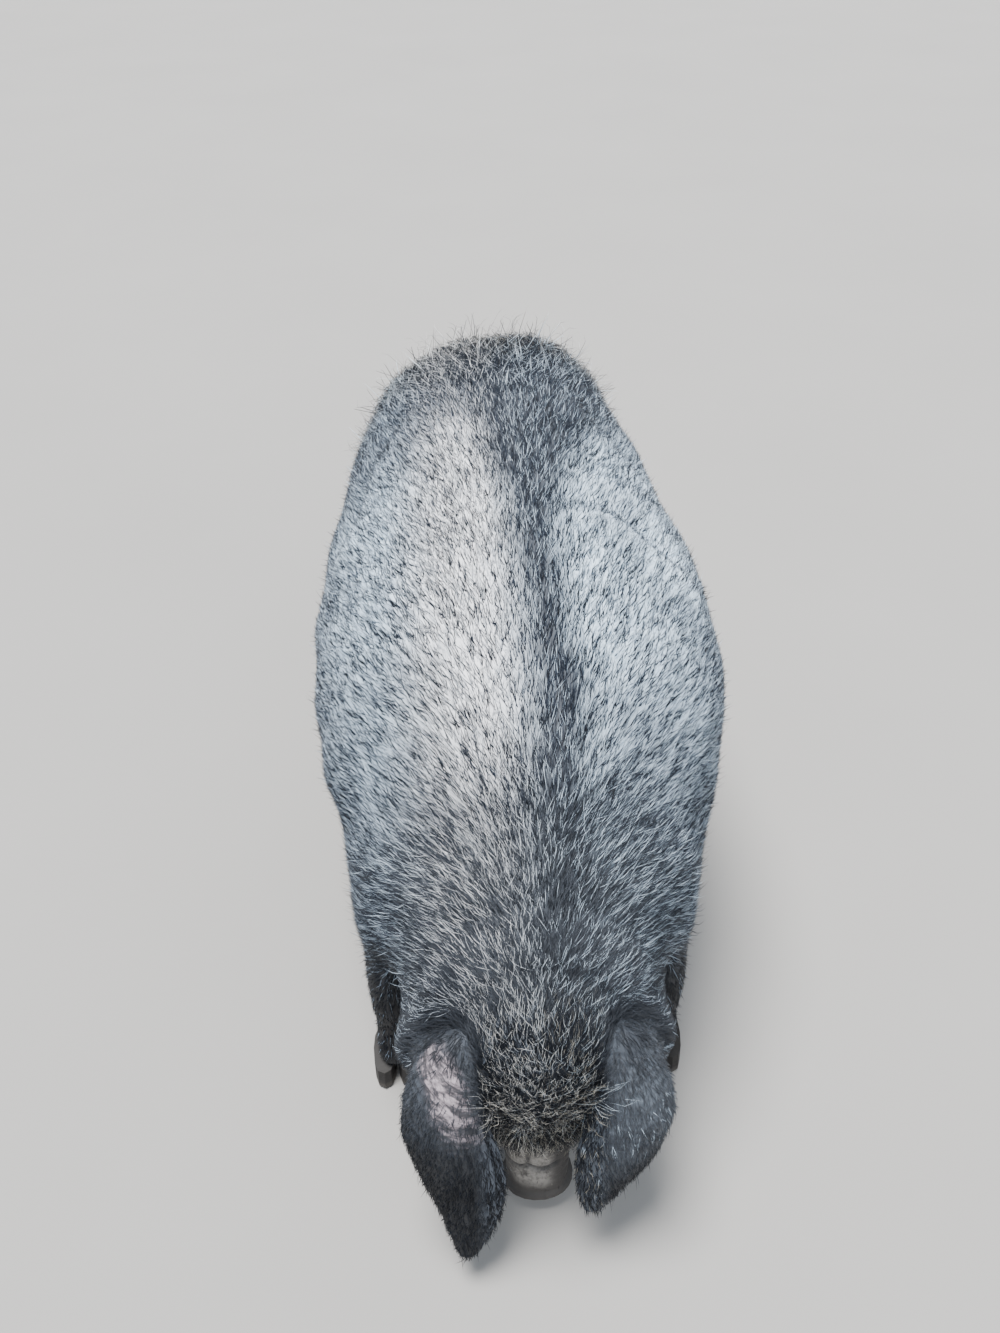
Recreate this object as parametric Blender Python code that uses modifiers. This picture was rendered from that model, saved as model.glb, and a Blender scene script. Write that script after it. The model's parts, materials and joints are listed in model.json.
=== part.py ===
"""A life-size mangalica pig that stands with its head lowered to the ground.

Metres, +Z up. The pig faces -Y, and its right side is at -X. The floor is z = 0.
The flesh is lofted from a few measured stations, fused and smoothed as one body, and then
parted into head, neck, torso and legs by thin cuts. Ears, eyes, tail and claws are solids of
their own. The long coat is flat, tapered locks, rooted in the node that they grow from.
"""

import math
import random

import bmesh
import bpy
import numpy as np
from mathutils import Matrix, Vector
from mathutils.bvhtree import BVHTree

GAP = 0.0003  # clearance that touching nodes keep
FLESH_VOXEL = 0.007
FLESH_SMOOTHING = 14
COARSE_SHARE = 0.018  # of the smoothed body's triangles, kept for trunk and legs
FINE_SHARE = 0.045  # and for the head
RING_SIDES = 32
SHORTEST_EDGE = 1e-5

# Every part is moved by this, so that the pig's length is centred on the origin.
CENTRE_SHIFT = 0.0096

# Trunk and neck, from the nape to the end of the rump: place along the body, height of the top
# line, of the widest level and of the underside, how far the right and the left flank stand out
# (the rump swings a little to the right), and how far the top line leans to +X
TRUNK = (
    (-0.517, 0.336, 0.277, 0.218, 0.042, 0.042, 0.0000),
    (-0.504, 0.365, 0.281, 0.197, 0.078, 0.078, 0.0000),
    (-0.479, 0.407, 0.286, 0.181, 0.110, 0.108, 0.0017),
    (-0.437, 0.466, 0.307, 0.175, 0.137, 0.136, 0.0042),
    (-0.378, 0.528, 0.336, 0.178, 0.158, 0.164, 0.0076),
    (-0.311, 0.575, 0.361, 0.181, 0.192, 0.195, 0.0109),
    (-0.227, 0.603, 0.374, 0.175, 0.221, 0.228, 0.0160),
    (-0.126, 0.615, 0.378, 0.164, 0.244, 0.250, 0.0218),
    (0.0000, 0.623, 0.378, 0.155, 0.255, 0.246, 0.0277),
    (0.118, 0.632, 0.382, 0.152, 0.252, 0.226, 0.0286),
    (0.235, 0.636, 0.391, 0.168, 0.242, 0.206, 0.0260),
    (0.336, 0.632, 0.403, 0.210, 0.223, 0.182, 0.0250),
    (0.420, 0.615, 0.420, 0.252, 0.199, 0.166, 0.0240),
    (0.487, 0.580, 0.420, 0.286, 0.168, 0.146, 0.0220),
    (0.538, 0.529, 0.420, 0.323, 0.126, 0.112, 0.0180),
    (0.567, 0.475, 0.416, 0.361, 0.067, 0.060, 0.0100),
)
TRUNK_SQUARENESS = 2.15

# The head hangs almost straight down. Its axis runs from inside the crown to the snout.
CROWN = Vector((0.0, -0.466, 0.307))
HEAD_TILT = math.radians(79)
# place along the head's axis, half width, height of the face over the axis, depth of the jaw
HEAD = (
    (-0.042, 0.071, 0.050, 0.067),
    (0.0000, 0.082, 0.076, 0.088),
    (0.042, 0.085, 0.087, 0.101),
    (0.084, 0.082, 0.082, 0.097),
    (0.126, 0.070, 0.062, 0.084),
    (0.168, 0.054, 0.042, 0.069),
    (0.206, 0.044, 0.032, 0.057),
    (0.239, 0.039, 0.032, 0.045),
    (0.269, 0.038, 0.037, 0.034),
    (0.284, 0.038, 0.039, 0.0286),
)
HEAD_SQUARENESS = 2.3
JOWL = {"place": (0.080, -0.445, 0.231), "radii": (0.076, 0.071, 0.088)}
DISC = {"half_width": 0.042, "half_height": 0.036, "thickness": 0.0118, "up": 0.0042}
DISC_PROFILE = ((0.0, 0.88), (0.3, 0.98), (0.7, 1.0), (1.0, 0.93))
NOSTRIL = {"side": 0.0147, "up": 0.0050, "half_width": 0.0063, "half_height": 0.0088, "depth": 0.0185}
MOUTH = {"corner": 0.164, "front": 0.267, "corner_drop": 0.0185, "front_drop": 0.0151}
MOUTH_DEPTH = 0.0076
MOUTH_OPENING = 0.0026
LIP = 0.0063
EYE_RADIUS = 0.0115
EYE = {"along": 0.093, "up": 0.030}
LID_THICKNESS = 0.0030
SOCKET_GAP = 0.0005  # between the faceted eyeball and its socket
LID_OPENING = (0.0105, 0.0058)

# Legs, from inside the body to the coronet: height counted downwards from the floor, distance
# from the midline, place along the body, half width, half depth
FORE_LEG = (
    (-0.538, 0.071, -0.252, 0.042, 0.067),
    (-0.487, 0.101, -0.269, 0.059, 0.092),
    (-0.420, 0.122, -0.284, 0.067, 0.104),
    (-0.353, 0.136, -0.296, 0.066, 0.097),
    (-0.277, 0.148, -0.311, 0.054, 0.076),
    (-0.223, 0.155, -0.326, 0.045, 0.055),
    (-0.176, 0.158, -0.341, 0.038, 0.045),
    (-0.139, 0.160, -0.353, 0.035, 0.039),
    (-0.109, 0.162, -0.356, 0.0286, 0.032),
    (-0.076, 0.164, -0.358, 0.0269, 0.030),
    (-0.054, 0.165, -0.361, 0.0294, 0.033),
    (-0.034, 0.166, -0.366, 0.031, 0.035),
    (-0.0118, 0.167, -0.371, 0.031, 0.035),
)
HIND_LEG = (
    (-0.580, 0.050, 0.395, 0.059, 0.084),
    (-0.521, 0.080, 0.386, 0.092, 0.126),
    (-0.454, 0.102, 0.380, 0.104, 0.141),
    (-0.395, 0.114, 0.376, 0.099, 0.141),
    (-0.336, 0.126, 0.370, 0.077, 0.122),
    (-0.277, 0.134, 0.374, 0.054, 0.086),
    (-0.227, 0.136, 0.399, 0.039, 0.057),
    (-0.186, 0.134, 0.427, 0.033, 0.044),
    (-0.147, 0.133, 0.427, 0.0269, 0.033),
    (-0.092, 0.132, 0.413, 0.0252, 0.0294),
    (-0.057, 0.131, 0.407, 0.0286, 0.032),
    (-0.034, 0.131, 0.400, 0.030, 0.034),
    (-0.0118, 0.131, 0.395, 0.030, 0.034),
)
# The rump swings to the right, so the left thigh stands in, fully from the second height up.
THIGH = (0.27, 0.42)
LEFT_THIGH_IN = 0.030

# Claws: the coronet is the sloping edge where the horn begins
CORONET = {"height": 0.035, "slope": math.radians(16)}
CLAW = {"half_width": 0.0141, "cleft": 0.0018, "heel": 0.0269, "toe": 0.039, "toe_lean": 0.34}
CLAW_TOP = 0.063
CLAW_SIDES = 12
DEW_CLAW = {"side": 0.0150, "height": 0.058, "reach": 0.035, "length": 0.034, "radius": 0.0098}
FEET = {
    "front": {"x": 0.167, "y": -0.368},
    "hind": {"x": 0.131, "y": 0.398},
}

# Lop ears: the line from the root inside the head to the tip, and half widths along it
EAR_THICKNESS = 0.0055
EAR_CURL = (math.radians(100), math.radians(42))
EAR_ROWS = 12
EAR_COLUMNS = 6
EAR_WIDTHS = (
    (0.00, 0.030),
    (0.12, 0.039),
    (0.32, 0.054),
    (0.55, 0.055),
    (0.78, 0.039),
    (0.93, 0.0202),
    (1.00, 0.0076),
)
EAR_LINES = {
    "ear_right": (
        (-0.062, -0.479, 0.307),
        (-0.097, -0.514, 0.296),
        (-0.108, -0.560, 0.231),
        (-0.088, -0.584, 0.151),
        (-0.081, -0.601, 0.099),
        (-0.085, -0.618, 0.046),
    ),
    "ear_left": (
        (0.062, -0.479, 0.307),
        (0.096, -0.512, 0.294),
        (0.105, -0.556, 0.234),
        (0.084, -0.575, 0.172),
        (0.066, -0.586, 0.130),
        (0.051, -0.596, 0.091),
    ),
}
EAR_FACING = ((0.75, -0.30, 0.60), (0.20, -0.90, 0.35))

TAIL_LINE = (
    (0.0084, 0.512, 0.522),
    (0.0067, 0.554, 0.514),
    (0.0084, 0.581, 0.460),
    (0.0134, 0.585, 0.382),
    (0.0151, 0.583, 0.311),
    (0.0101, 0.585, 0.252),
)
TAIL_RADII = (0.0185, 0.0155, 0.0126, 0.0101, 0.0080, 0.0055)

# Cuts between the nodes: a point on the cut, and the way towards the node beyond it
NECK_CUT = (Vector((0.0, -0.395, 0.336)), Vector((0.0, -1.0, 0.0)))
HEAD_CUT = (Vector((0.0, -0.437, 0.269)), Vector((0.0, -0.93, -0.37)))
FORE_CUT = {"inner": (0.059, 0.178), "outer": (0.244, 0.290), "front": -0.395, "back": -0.197}
HIND_CUT = {"inner": (0.0252, 0.252), "outer": (0.244, 0.340), "front": 0.235, "back": 0.605}

# Locks of the coat. Each starts inside the skin, comes out of it, and lies along the body.
# Share of the lock's length, shares of its width and thickness, and height over the skin
LOCK_STATIONS = (
    (0.00, 0.60, 1.00, -0.0090),
    (0.22, 0.95, 1.00, -0.0005),
    (0.50, 1.00, 0.90, 0.0055),
    (0.78, 0.66, 0.70, 0.0095),
)
LOCK_TIP_HEIGHT = 0.0115
LOCK_RIDGE = 0.0042
LOCK_BELLY = 0.0020
LOCK_CUP = 0.0030  # how far a lock's edges bend down round the body
TRUNK_COAT = {"length": 0.168, "width": 0.088, "rows": 8, "from": -0.430, "to": 0.500}
FRINGE_COAT = {"length": 0.062, "width": 0.030, "rows": 4, "from": -0.020, "to": 0.082}
JOWL_COAT = {"length": 0.072, "width": 0.036}
LEG_COAT = {"length": 0.070, "width": 0.034}
# Roots of a leg's locks: a point inside the leg, and the way out to the skin
LEG_LOCKS = {
    "front": (
        (0.150, -0.312, 0.262, (1.0, 0.2)),
        (0.148, -0.318, 0.250, (0.2, 1.0)),
        (0.155, -0.340, 0.205, (0.9, 0.6)),
    ),
    "hind": (
        (0.140, 0.350, 0.305, (1.0, -0.5)),
        (0.140, 0.390, 0.300, (1.0, 0.3)),
        (0.134, 0.405, 0.235, (0.8, 0.7)),
        (0.134, 0.400, 0.240, (0.7, -1.0)),
    ),
}
TUFT = {"length": 0.100, "width": 0.016, "locks": 6, "swell": 0.010, "flatness": 0.45}
COAT_AXIS = 0.36  # height of the line in the trunk that the rows of locks go round
COAT_REACH = math.radians(152)  # how far down from the spine the rows go
RUMP = {"place": (0.0, 0.43, 0.40), "rings": ((34, 7), (58, 10))}
CLEAR = 0.005  # between a lock and another node, beyond half the lock's width
SEED = 11

LOOKS = {
    "coat": ((0.115, 0.125, 0.145, 1.0), 0.80),
    "skin": ((0.150, 0.135, 0.145, 1.0), 0.60),
    "claw": ((0.045, 0.042, 0.040, 1.0), 0.45),
    "eye": ((0.025, 0.014, 0.010, 1.0), 0.10),
}


def clear_scene():
    for obj in list(bpy.data.objects):
        bpy.data.objects.remove(obj)


def material(name):
    colour, roughness = LOOKS[name]
    made = bpy.data.materials.new(name)
    made.use_nodes = True
    shader = made.node_tree.nodes["Principled BSDF"]
    shader.inputs["Base Color"].default_value = colour
    shader.inputs["Roughness"].default_value = roughness
    shader.inputs["Metallic"].default_value = 0.0
    made.diffuse_color = colour
    return made


def new_object(name, mesh, home):
    obj = bpy.data.objects.new(name, mesh)
    home.objects.link(obj)
    return obj


def mesh_object(name, bm, home):
    """The bmesh as an object of triangles that point outwards."""
    bmesh.ops.recalc_face_normals(bm, faces=bm.faces)
    bmesh.ops.triangulate(bm, faces=bm.faces)
    mesh = bpy.data.meshes.new(name)
    bm.to_mesh(mesh)
    bm.free()
    return new_object(name, mesh, home)


def eased_rows(stations, count):
    """Rows whose first number is the place along a form, eased into count evenly spread rows."""
    table = np.array(stations, float)
    at = table[:, 0]
    steps = np.linspace(at[0], at[-1], count)
    slopes = np.gradient(table, at, axis=0)
    cell = np.clip(np.searchsorted(at, steps, side="right") - 1, 0, len(at) - 2)
    width = (at[cell + 1] - at[cell])[:, None]
    t = (steps - at[cell])[:, None] / width
    start = (2 * t**3 - 3 * t**2 + 1) * table[cell] + (t**3 - 2 * t**2 + t) * slopes[cell] * width
    end = (3 * t**2 - 2 * t**3) * table[cell + 1] + (t**3 - t**2) * slopes[cell + 1] * width
    return start + end


def eased_line(points, count):
    """A curve's points, eased into count points that are evenly spread over its knots."""
    rows = [(i, *p) for i, p in enumerate(points)]
    return [Vector(row[1:]) for row in eased_rows(rows, count)]


def rounded(angle, squareness):
    """A point of a unit superellipse: across and up."""
    c, s = math.cos(angle), math.sin(angle)
    power = 2 / squareness
    return math.copysign(abs(c) ** power, c), math.copysign(abs(s) ** power, s)


def add_loft(bm, rings):
    """Adds a closed form through rings of points, with a flat cap at each end."""
    rows = [[bm.verts.new(p) for p in ring] for ring in rings]
    sides = len(rows[0])
    for low, high in zip(rows, rows[1:]):
        for i in range(sides):
            j = (i + 1) % sides
            bm.faces.new((low[i], low[j], high[j], high[i]))
    bm.faces.new(rows[0][::-1])
    bm.faces.new(rows[-1])


def add_tube(bm, line, radii, sides, flatness=1.0):
    """Adds a round or flattened tube along a line of points. Flat tubes are thin along Z."""
    rings = []
    for i, point in enumerate(line):
        way = (line[min(i + 1, len(line) - 1)] - line[max(i - 1, 0)]).normalized()
        across = way.cross(Vector((0, 0, 1)))
        across = across.normalized() if across.length > 0.1 else Vector((1, 0, 0))
        up = across.cross(way).normalized()
        ring = []
        for k in range(sides):
            angle = math.tau * k / sides
            turn = across * math.cos(angle) + up * math.sin(angle) * flatness
            ring.append(point + turn * radii[i])
        rings.append(ring)
    add_loft(bm, rings)


def add_trunk(bm):
    rings = []
    for y, top, level, bottom, right, left, lean in eased_rows(TRUNK, 44):
        ring = []
        for i in range(RING_SIDES):
            across, up = rounded(math.tau * i / RING_SIDES, TRUNK_SQUARENESS)
            height = (top - level) if up > 0 else (level - bottom)
            x = across * (left if across > 0 else right) + lean * max(up, 0.0)
            ring.append(Vector((x, y, level + up * height)))
        rings.append(ring)
    add_loft(bm, rings)


def head_frame():
    """Head coordinates to world: x across, y along the axis to the snout, z out of the face."""
    along = Vector((0.0, -math.cos(HEAD_TILT), -math.sin(HEAD_TILT)))
    out = Vector((0.0, -math.sin(HEAD_TILT), math.cos(HEAD_TILT)))
    frame = Matrix((Vector((1.0, 0.0, 0.0)), along, out)).transposed().to_4x4()
    frame.translation = CROWN
    return frame


def add_head(bm):
    frame = head_frame()
    rings = []
    for along, half_width, face, jaw in eased_rows(HEAD, 26):
        ring = []
        for i in range(RING_SIDES):
            across, up = rounded(math.tau * i / RING_SIDES, HEAD_SQUARENESS)
            height = up * (face if up > 0 else jaw)
            ring.append(frame @ Vector((across * half_width, along, height)))
        rings.append(ring)
    add_loft(bm, rings)


def add_ball(bm, place, radii, segments=24):
    made = bmesh.ops.create_uvsphere(bm, u_segments=segments, v_segments=segments * 2 // 3, radius=1.0)
    bmesh.ops.scale(bm, vec=radii, verts=made["verts"])
    bmesh.ops.translate(bm, vec=place, verts=made["verts"])


def add_leg(bm, stations, side, thigh_in=0.0):
    """A leg and its thigh, which may stand in by an amount that grows with its height."""
    rings = []
    for drop, across, y, half_width, half_depth in eased_rows(stations, 34):
        across -= thigh_in * min(1.0, max(0.0, (-drop - THIGH[0]) / (THIGH[1] - THIGH[0])))
        ring = []
        for i in range(RING_SIDES):
            c, s = rounded(math.tau * i / RING_SIDES, 2.1)
            ring.append(Vector((side * across + c * half_width, y + s * half_depth, -drop)))
        rings.append(ring)
    add_loft(bm, rings)


def applied(obj):
    """Makes the object's modifiers part of its mesh."""
    graph = bpy.context.evaluated_depsgraph_get()
    made = bpy.data.meshes.new_from_object(obj.evaluated_get(graph))
    obj.modifiers.clear()
    obj.data = made
    return obj


def combined(obj, operation, cutter, solver="MANIFOLD"):
    """The object with a Boolean of the cutter applied."""
    step = obj.modifiers.new(operation.title(), "BOOLEAN")
    step.operation = operation
    step.solver = solver
    step.object = cutter
    return applied(obj)


def enclosed(faces):
    """Six times the volume inside these faces."""
    total = 0.0
    for face in faces:
        first = face.verts[0].co
        for a, b in zip(face.verts[1:], face.verts[2:]):
            total += first.dot(a.co.cross(b.co))
    return total


def triangulated(obj):
    """The mesh in triangles. A diagonal that runs along another edge gets a point of its own."""
    bm = bmesh.new()
    bm.from_mesh(obj.data)
    bmesh.ops.dissolve_degenerate(bm, dist=SHORTEST_EDGE, edges=bm.edges)
    origin = bm.faces.layers.int.new("origin")
    for i, face in enumerate(bm.faces):
        face[origin] = i
    bmesh.ops.triangulate(bm, faces=bm.faces)
    for edge in [edge for edge in bm.edges if len(edge.link_faces) > 2]:
        by_origin = {}
        for face in edge.link_faces:
            by_origin.setdefault(face[origin], []).append(face)
        pair = next(faces for faces in by_origin.values() if len(faces) == 2)
        middle = bm.verts.new((edge.verts[0].co + edge.verts[1].co) / 2)
        for face in pair:
            for end in edge.verts:
                bm.faces.new([middle if vert is end else vert for vert in face.verts])
        bmesh.ops.delete(bm, geom=pair, context="FACES_ONLY")
    bm.faces.layers.int.remove(origin)
    if any(len(edge.link_faces) != 2 for edge in bm.edges):
        raise RuntimeError(f"{obj.name} has an edge that isn't between two faces")
    return bm


def keep_largest(obj):
    """Keeps the closed surface that encloses most, without sealed hollows and loose scraps."""
    bm = triangulated(obj)
    unseen = set(bm.faces)
    groups = []
    while unseen:
        group, front = [], [unseen.pop()]
        while front:
            face = front.pop()
            group.append(face)
            for edge in face.edges:
                for other in edge.link_faces:
                    if other in unseen:
                        unseen.remove(other)
                        front.append(other)
        groups.append(group)
    largest = max(groups, key=enclosed)
    dropped = [face for group in groups if group is not largest for face in group]
    bmesh.ops.delete(bm, geom=dropped, context="FACES")
    bm.to_mesh(obj.data)
    bm.free()
    return obj


def duplicate(obj, name, home):
    return new_object(name, obj.data.copy(), home)


def flesh(home):
    """Trunk, head and legs, fused and smoothed into one body."""
    bm = bmesh.new()
    add_trunk(bm)
    add_head(bm)
    for side in (-1, 1):
        x, y, z = JOWL["place"]
        add_ball(bm, (side * x, y, z), JOWL["radii"])
        add_leg(bm, FORE_LEG, side)
        add_leg(bm, HIND_LEG, side, LEFT_THIGH_IN if side > 0 else 0.0)
    body = mesh_object("flesh", bm, home)
    fuse = body.modifiers.new("Fuse", "REMESH")
    fuse.mode = "VOXEL"
    fuse.voxel_size = FLESH_VOXEL
    ease = body.modifiers.new("Ease", "SMOOTH")
    ease.factor = 0.5
    ease.iterations = FLESH_SMOOTHING
    return applied(body)


def simplified(body, name, share, home):
    copy = duplicate(body, name, home)
    fewer = copy.modifiers.new("Fewer", "DECIMATE")
    fewer.ratio = share
    return applied(copy)


def half_space(name, cut, side, home, reach=1.6):
    """A block beyond a cut (side 1) or before it (side -1), half a gap away from it."""
    point, way = cut
    bm = bmesh.new()
    bmesh.ops.create_cube(bm, size=2 * reach)
    bmesh.ops.translate(bm, vec=(0, 0, reach + GAP / 2), verts=bm.verts)
    turn = Vector((0, 0, 1)).rotation_difference(way.normalized() * side).to_matrix().to_4x4()
    bmesh.ops.transform(bm, matrix=Matrix.Translation(point) @ turn, verts=bm.verts)
    return mesh_object(name, bm, home)


def leg_space(name, cut, side, grow, home):
    """The space of one leg, under a slope from the armpit or groin up to the flank."""
    (inner_x, inner_z), (outer_x, outer_z) = cut["inner"], cut["outer"]
    slope = (outer_z - inner_z) / (outer_x - inner_x)
    lift = grow * math.hypot(1, slope)
    far = 0.5
    corners = (
        (inner_x - grow, inner_z + lift - slope * grow),
        (far, inner_z + lift + slope * (far - inner_x)),
        (far, -far),
        (inner_x - grow, -far),
    )
    bm = bmesh.new()
    ends = [[(side * x, y, z) for x, z in corners] for y in (cut["front"] - grow, cut["back"] + grow)]
    add_loft(bm, ends)
    return mesh_object(name, bm, home)


def swollen(obj, amount, name, home):
    """A copy of the object that stands out from it by this amount all over."""
    copy = duplicate(obj, name, home)
    bm = bmesh.new()
    bm.from_mesh(copy.data)
    bm.normal_update()
    moved = [(vert, vert.co + vert.normal * amount * min(vert.calc_shell_factor(), 3)) for vert in bm.verts]
    for vert, place in moved:
        vert.co = place
    bm.to_mesh(copy.data)
    bm.free()
    return copy


def cut_clear(obj, carrier, home):
    """Cuts the object back to just over a gap's width from what carries it."""
    cutter = swollen(carrier, 1.3 * GAP, "clearance", home)
    combined(obj, "DIFFERENCE", cutter)
    bpy.data.objects.remove(cutter)
    return keep_largest(obj)


def parted(name, body, home, *steps):
    """A node cut out of the body. Each step is an operation and the block that does it."""
    node = duplicate(body, name, home)
    for operation, block in steps:
        combined(node, operation, block)
    return keep_largest(node)


def surface_tree(obj):
    bm = bmesh.new()
    bm.from_mesh(obj.data)
    tree = BVHTree.FromBMesh(bm)
    bm.free()
    return tree


def surface_point(tree, start, way):
    """The point on a surface that is met from outside, on the way in to a start point inside."""
    reach = 0.4
    hit, normal, _, _ = tree.ray_cast(start + way.normalized() * reach, -way, reach)
    return hit, normal


def mouth_line(tree):
    """Points on the head round the mouth, from one corner past the chin to the other."""
    frame = head_frame()
    count = 15
    points = []
    for i in range(count):
        angle = math.pi * i / (count - 1)
        forward = math.sin(angle)
        along = MOUTH["corner"] + (MOUTH["front"] - MOUTH["corner"]) * forward
        drop = MOUTH["corner_drop"] + (MOUTH["front_drop"] - MOUTH["corner_drop"]) * forward
        start = frame @ Vector((0, along - 0.025 * forward, -drop))
        way = frame.to_3x3() @ Vector((math.cos(angle), 0.55 * forward**3, -0.45 * forward))
        hit, normal = surface_point(tree, start, way)
        points.append((hit, normal))
    return points


def add_ribbon(bm, line, up, depth, opening):
    """Adds a band along points of a surface: deep into it, and thin across the band's run."""
    rings = []
    for i, (point, normal) in enumerate(line):
        before, after = line[max(i - 1, 0)][0], line[min(i + 1, len(line) - 1)][0]
        way = (after - before).normalized()
        across = normal.cross(way).normalized() * opening
        out = normal.normalized() * depth
        rings.append([point + out * up, point + across, point - out, point - across])
    add_loft(bm, rings)


def detailed_head(head, tools):
    """Snout disc, nostrils, lips, mouth, eye sockets and lids on the plain head."""
    frame = head_frame()
    bm = bmesh.new()
    end = HEAD[-1][0]
    rings = []
    for step, swell in DISC_PROFILE:
        ring = []
        for i in range(22):
            across, up = rounded(math.tau * i / 22, 2.2)
            spot = (
                across * DISC["half_width"] * swell,
                end - 0.005 + step * DISC["thickness"],
                DISC["up"] + up * DISC["half_height"] * swell,
            )
            ring.append(frame @ Vector(spot))
        rings.append(ring)
    add_loft(bm, rings)
    disc = mesh_object("disc", bm, tools)
    combined(head, "UNION", disc)

    line = mouth_line(surface_tree(head))
    bm = bmesh.new()
    add_ribbon(bm, line, 0.45, LIP, LIP)
    combined(head, "UNION", mesh_object("lips", bm, tools))
    bm = bmesh.new()
    add_ribbon(bm, line, 0.9, MOUTH_DEPTH, MOUTH_OPENING / 2)
    combined(head, "DIFFERENCE", mesh_object("mouth", bm, tools))

    bm = bmesh.new()
    for side in (-1, 1):
        made = bmesh.ops.create_cone(
            bm, cap_ends=True, segments=12, radius1=0.75, radius2=1.0, depth=1.0
        )
        size = Matrix.Diagonal((NOSTRIL["half_width"], NOSTRIL["half_height"], 2 * NOSTRIL["depth"], 1))
        turn = Matrix.Rotation(-math.pi / 2, 4, "X")
        place = Matrix.Translation((side * NOSTRIL["side"], end + 0.007, NOSTRIL["up"]))
        bmesh.ops.transform(bm, matrix=frame @ place @ turn @ size, verts=made["verts"])
    combined(head, "DIFFERENCE", mesh_object("nostrils", bm, tools))
    return head


def eye_places(tree):
    """Each eyeball's centre and the way that it looks."""
    frame = head_frame()
    places = {}
    for name, side in (("eye_right", -1), ("eye_left", 1)):
        start = frame @ Vector((0, EYE["along"], EYE["up"]))
        way = frame.to_3x3() @ Vector((side, 0.05, 0.12))
        hit, _ = surface_point(tree, start, way)
        places[name] = (hit - way.normalized() * EYE_RADIUS * 0.72, way.normalized())
    return places


def socket(head, centre, look, tools):
    """Lids round an almond opening, and a socket that the eyeball fills to a gap's width."""
    bm = bmesh.new()
    add_ball(bm, centre, (EYE_RADIUS + LID_THICKNESS,) * 3, 12)
    combined(head, "UNION", mesh_object("lids", bm, tools))
    bm = bmesh.new()
    add_ball(bm, centre, (EYE_RADIUS + SOCKET_GAP,) * 3, 12)
    combined(head, "DIFFERENCE", mesh_object("socket", bm, tools))
    bm = bmesh.new()
    made = bmesh.ops.create_cone(bm, cap_ends=True, segments=16, radius1=1, radius2=1.6, depth=1)
    size = Matrix.Diagonal((LID_OPENING[0], LID_OPENING[1], 0.03, 1))
    place = Matrix.Translation((0, 0, 0.019))
    face_down = head_frame().to_3x3() @ Vector((0, 1, 0))
    across = (face_down - look * face_down.dot(look)).normalized()
    turn = Matrix((across, look.cross(across), look)).transposed().to_4x4()
    matrix = Matrix.Translation(centre) @ turn @ place @ size
    bmesh.ops.transform(bm, matrix=matrix, verts=made["verts"])
    combined(head, "DIFFERENCE", mesh_object("lid_opening", bm, tools))
    return head


def eyeball(name, centre, home):
    bm = bmesh.new()
    add_ball(bm, centre, (EYE_RADIUS,) * 3, 12)
    return mesh_object(name, bm, home)


def ear(name, line, home):
    """A cupped leaf that hangs from its root, its hollow turned to the face."""
    points = eased_line(line, EAR_ROWS)
    widths = eased_rows(EAR_WIDTHS, EAR_ROWS)
    side = 1 if line[0][0] > 0 else -1
    bm = bmesh.new()
    grid = []
    for i, point in enumerate(points):
        u = i / (EAR_ROWS - 1)
        way = (points[min(i + 1, EAR_ROWS - 1)] - points[max(i - 1, 0)]).normalized()
        out = Vector(EAR_FACING[0]).lerp(Vector(EAR_FACING[1]), min(1.0, u * 2.2))
        out.x *= side
        out = (out - way * out.dot(way)).normalized()
        across = way.cross(out).normalized()
        curl = EAR_CURL[0] + (EAR_CURL[1] - EAR_CURL[0]) * min(1.0, u * 1.6)
        half_width = widths[i][1]
        radius = half_width / curl
        row = []
        for k in range(EAR_COLUMNS + 1):
            bend = (2 * k / EAR_COLUMNS - 1) * curl
            lift = across * math.sin(bend) * radius + out * (math.cos(bend) - 1) * radius
            row.append(bm.verts.new(point + lift))
        grid.append(row)
    for low, high in zip(grid, grid[1:]):
        for k in range(EAR_COLUMNS):
            bm.faces.new((low[k], low[k + 1], high[k + 1]))
            bm.faces.new((low[k], high[k + 1], high[k]))
    leaf = mesh_object(name, bm, home)
    wall = leaf.modifiers.new("Wall", "SOLIDIFY")
    wall.thickness = EAR_THICKNESS
    wall.offset = 0.0
    wall.use_even_offset = True
    return applied(leaf)


def tail(home):
    bm = bmesh.new()
    line = eased_line(TAIL_LINE, 10)
    radii = [row[1] for row in eased_rows(list(enumerate(TAIL_RADII)), 10)]
    add_tube(bm, line, radii, 8)
    return mesh_object("bare_tail", bm, home)


def coronet_cut(foot, side):
    """The sloping plane of one foot's coronet, which is lower at the heel."""
    point = Vector((side * foot["x"], foot["y"], CORONET["height"]))
    slope = CORONET["slope"]
    return point, Vector((0.0, math.sin(slope), -math.cos(slope)))


def claw(name, foot, side, inner, home):
    """One of a foot's two main claws, flat on the ground and flat towards the other claw."""
    cleft = CLAW["cleft"] / 2
    half_width = CLAW["half_width"]
    centre_x = side * foot["x"] + inner * (cleft + half_width)
    rings = []
    for z, swell in ((0.0, 0.93), (0.004, 1.0), (0.030, 0.99), (CLAW_TOP, 0.97)):
        heel = CLAW["heel"] * swell
        toe = (CLAW["toe"] - CLAW["toe_lean"] * z) * swell
        ring = []
        for i in range(CLAW_SIDES):
            across, along = rounded(math.tau * i / CLAW_SIDES, 2.5)
            x = max(across * inner, -0.99) * half_width * inner * swell
            if across * inner < 0:
                x = across * half_width * (0.995 if along < 0 else 0.97)
            y = along * (toe if along < 0 else heel)
            ring.append(Vector((centre_x + x, foot["y"] + y, z)))
        rings.append(ring)
    bm = bmesh.new()
    add_loft(bm, rings)
    return mesh_object(name, bm, home)


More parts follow.
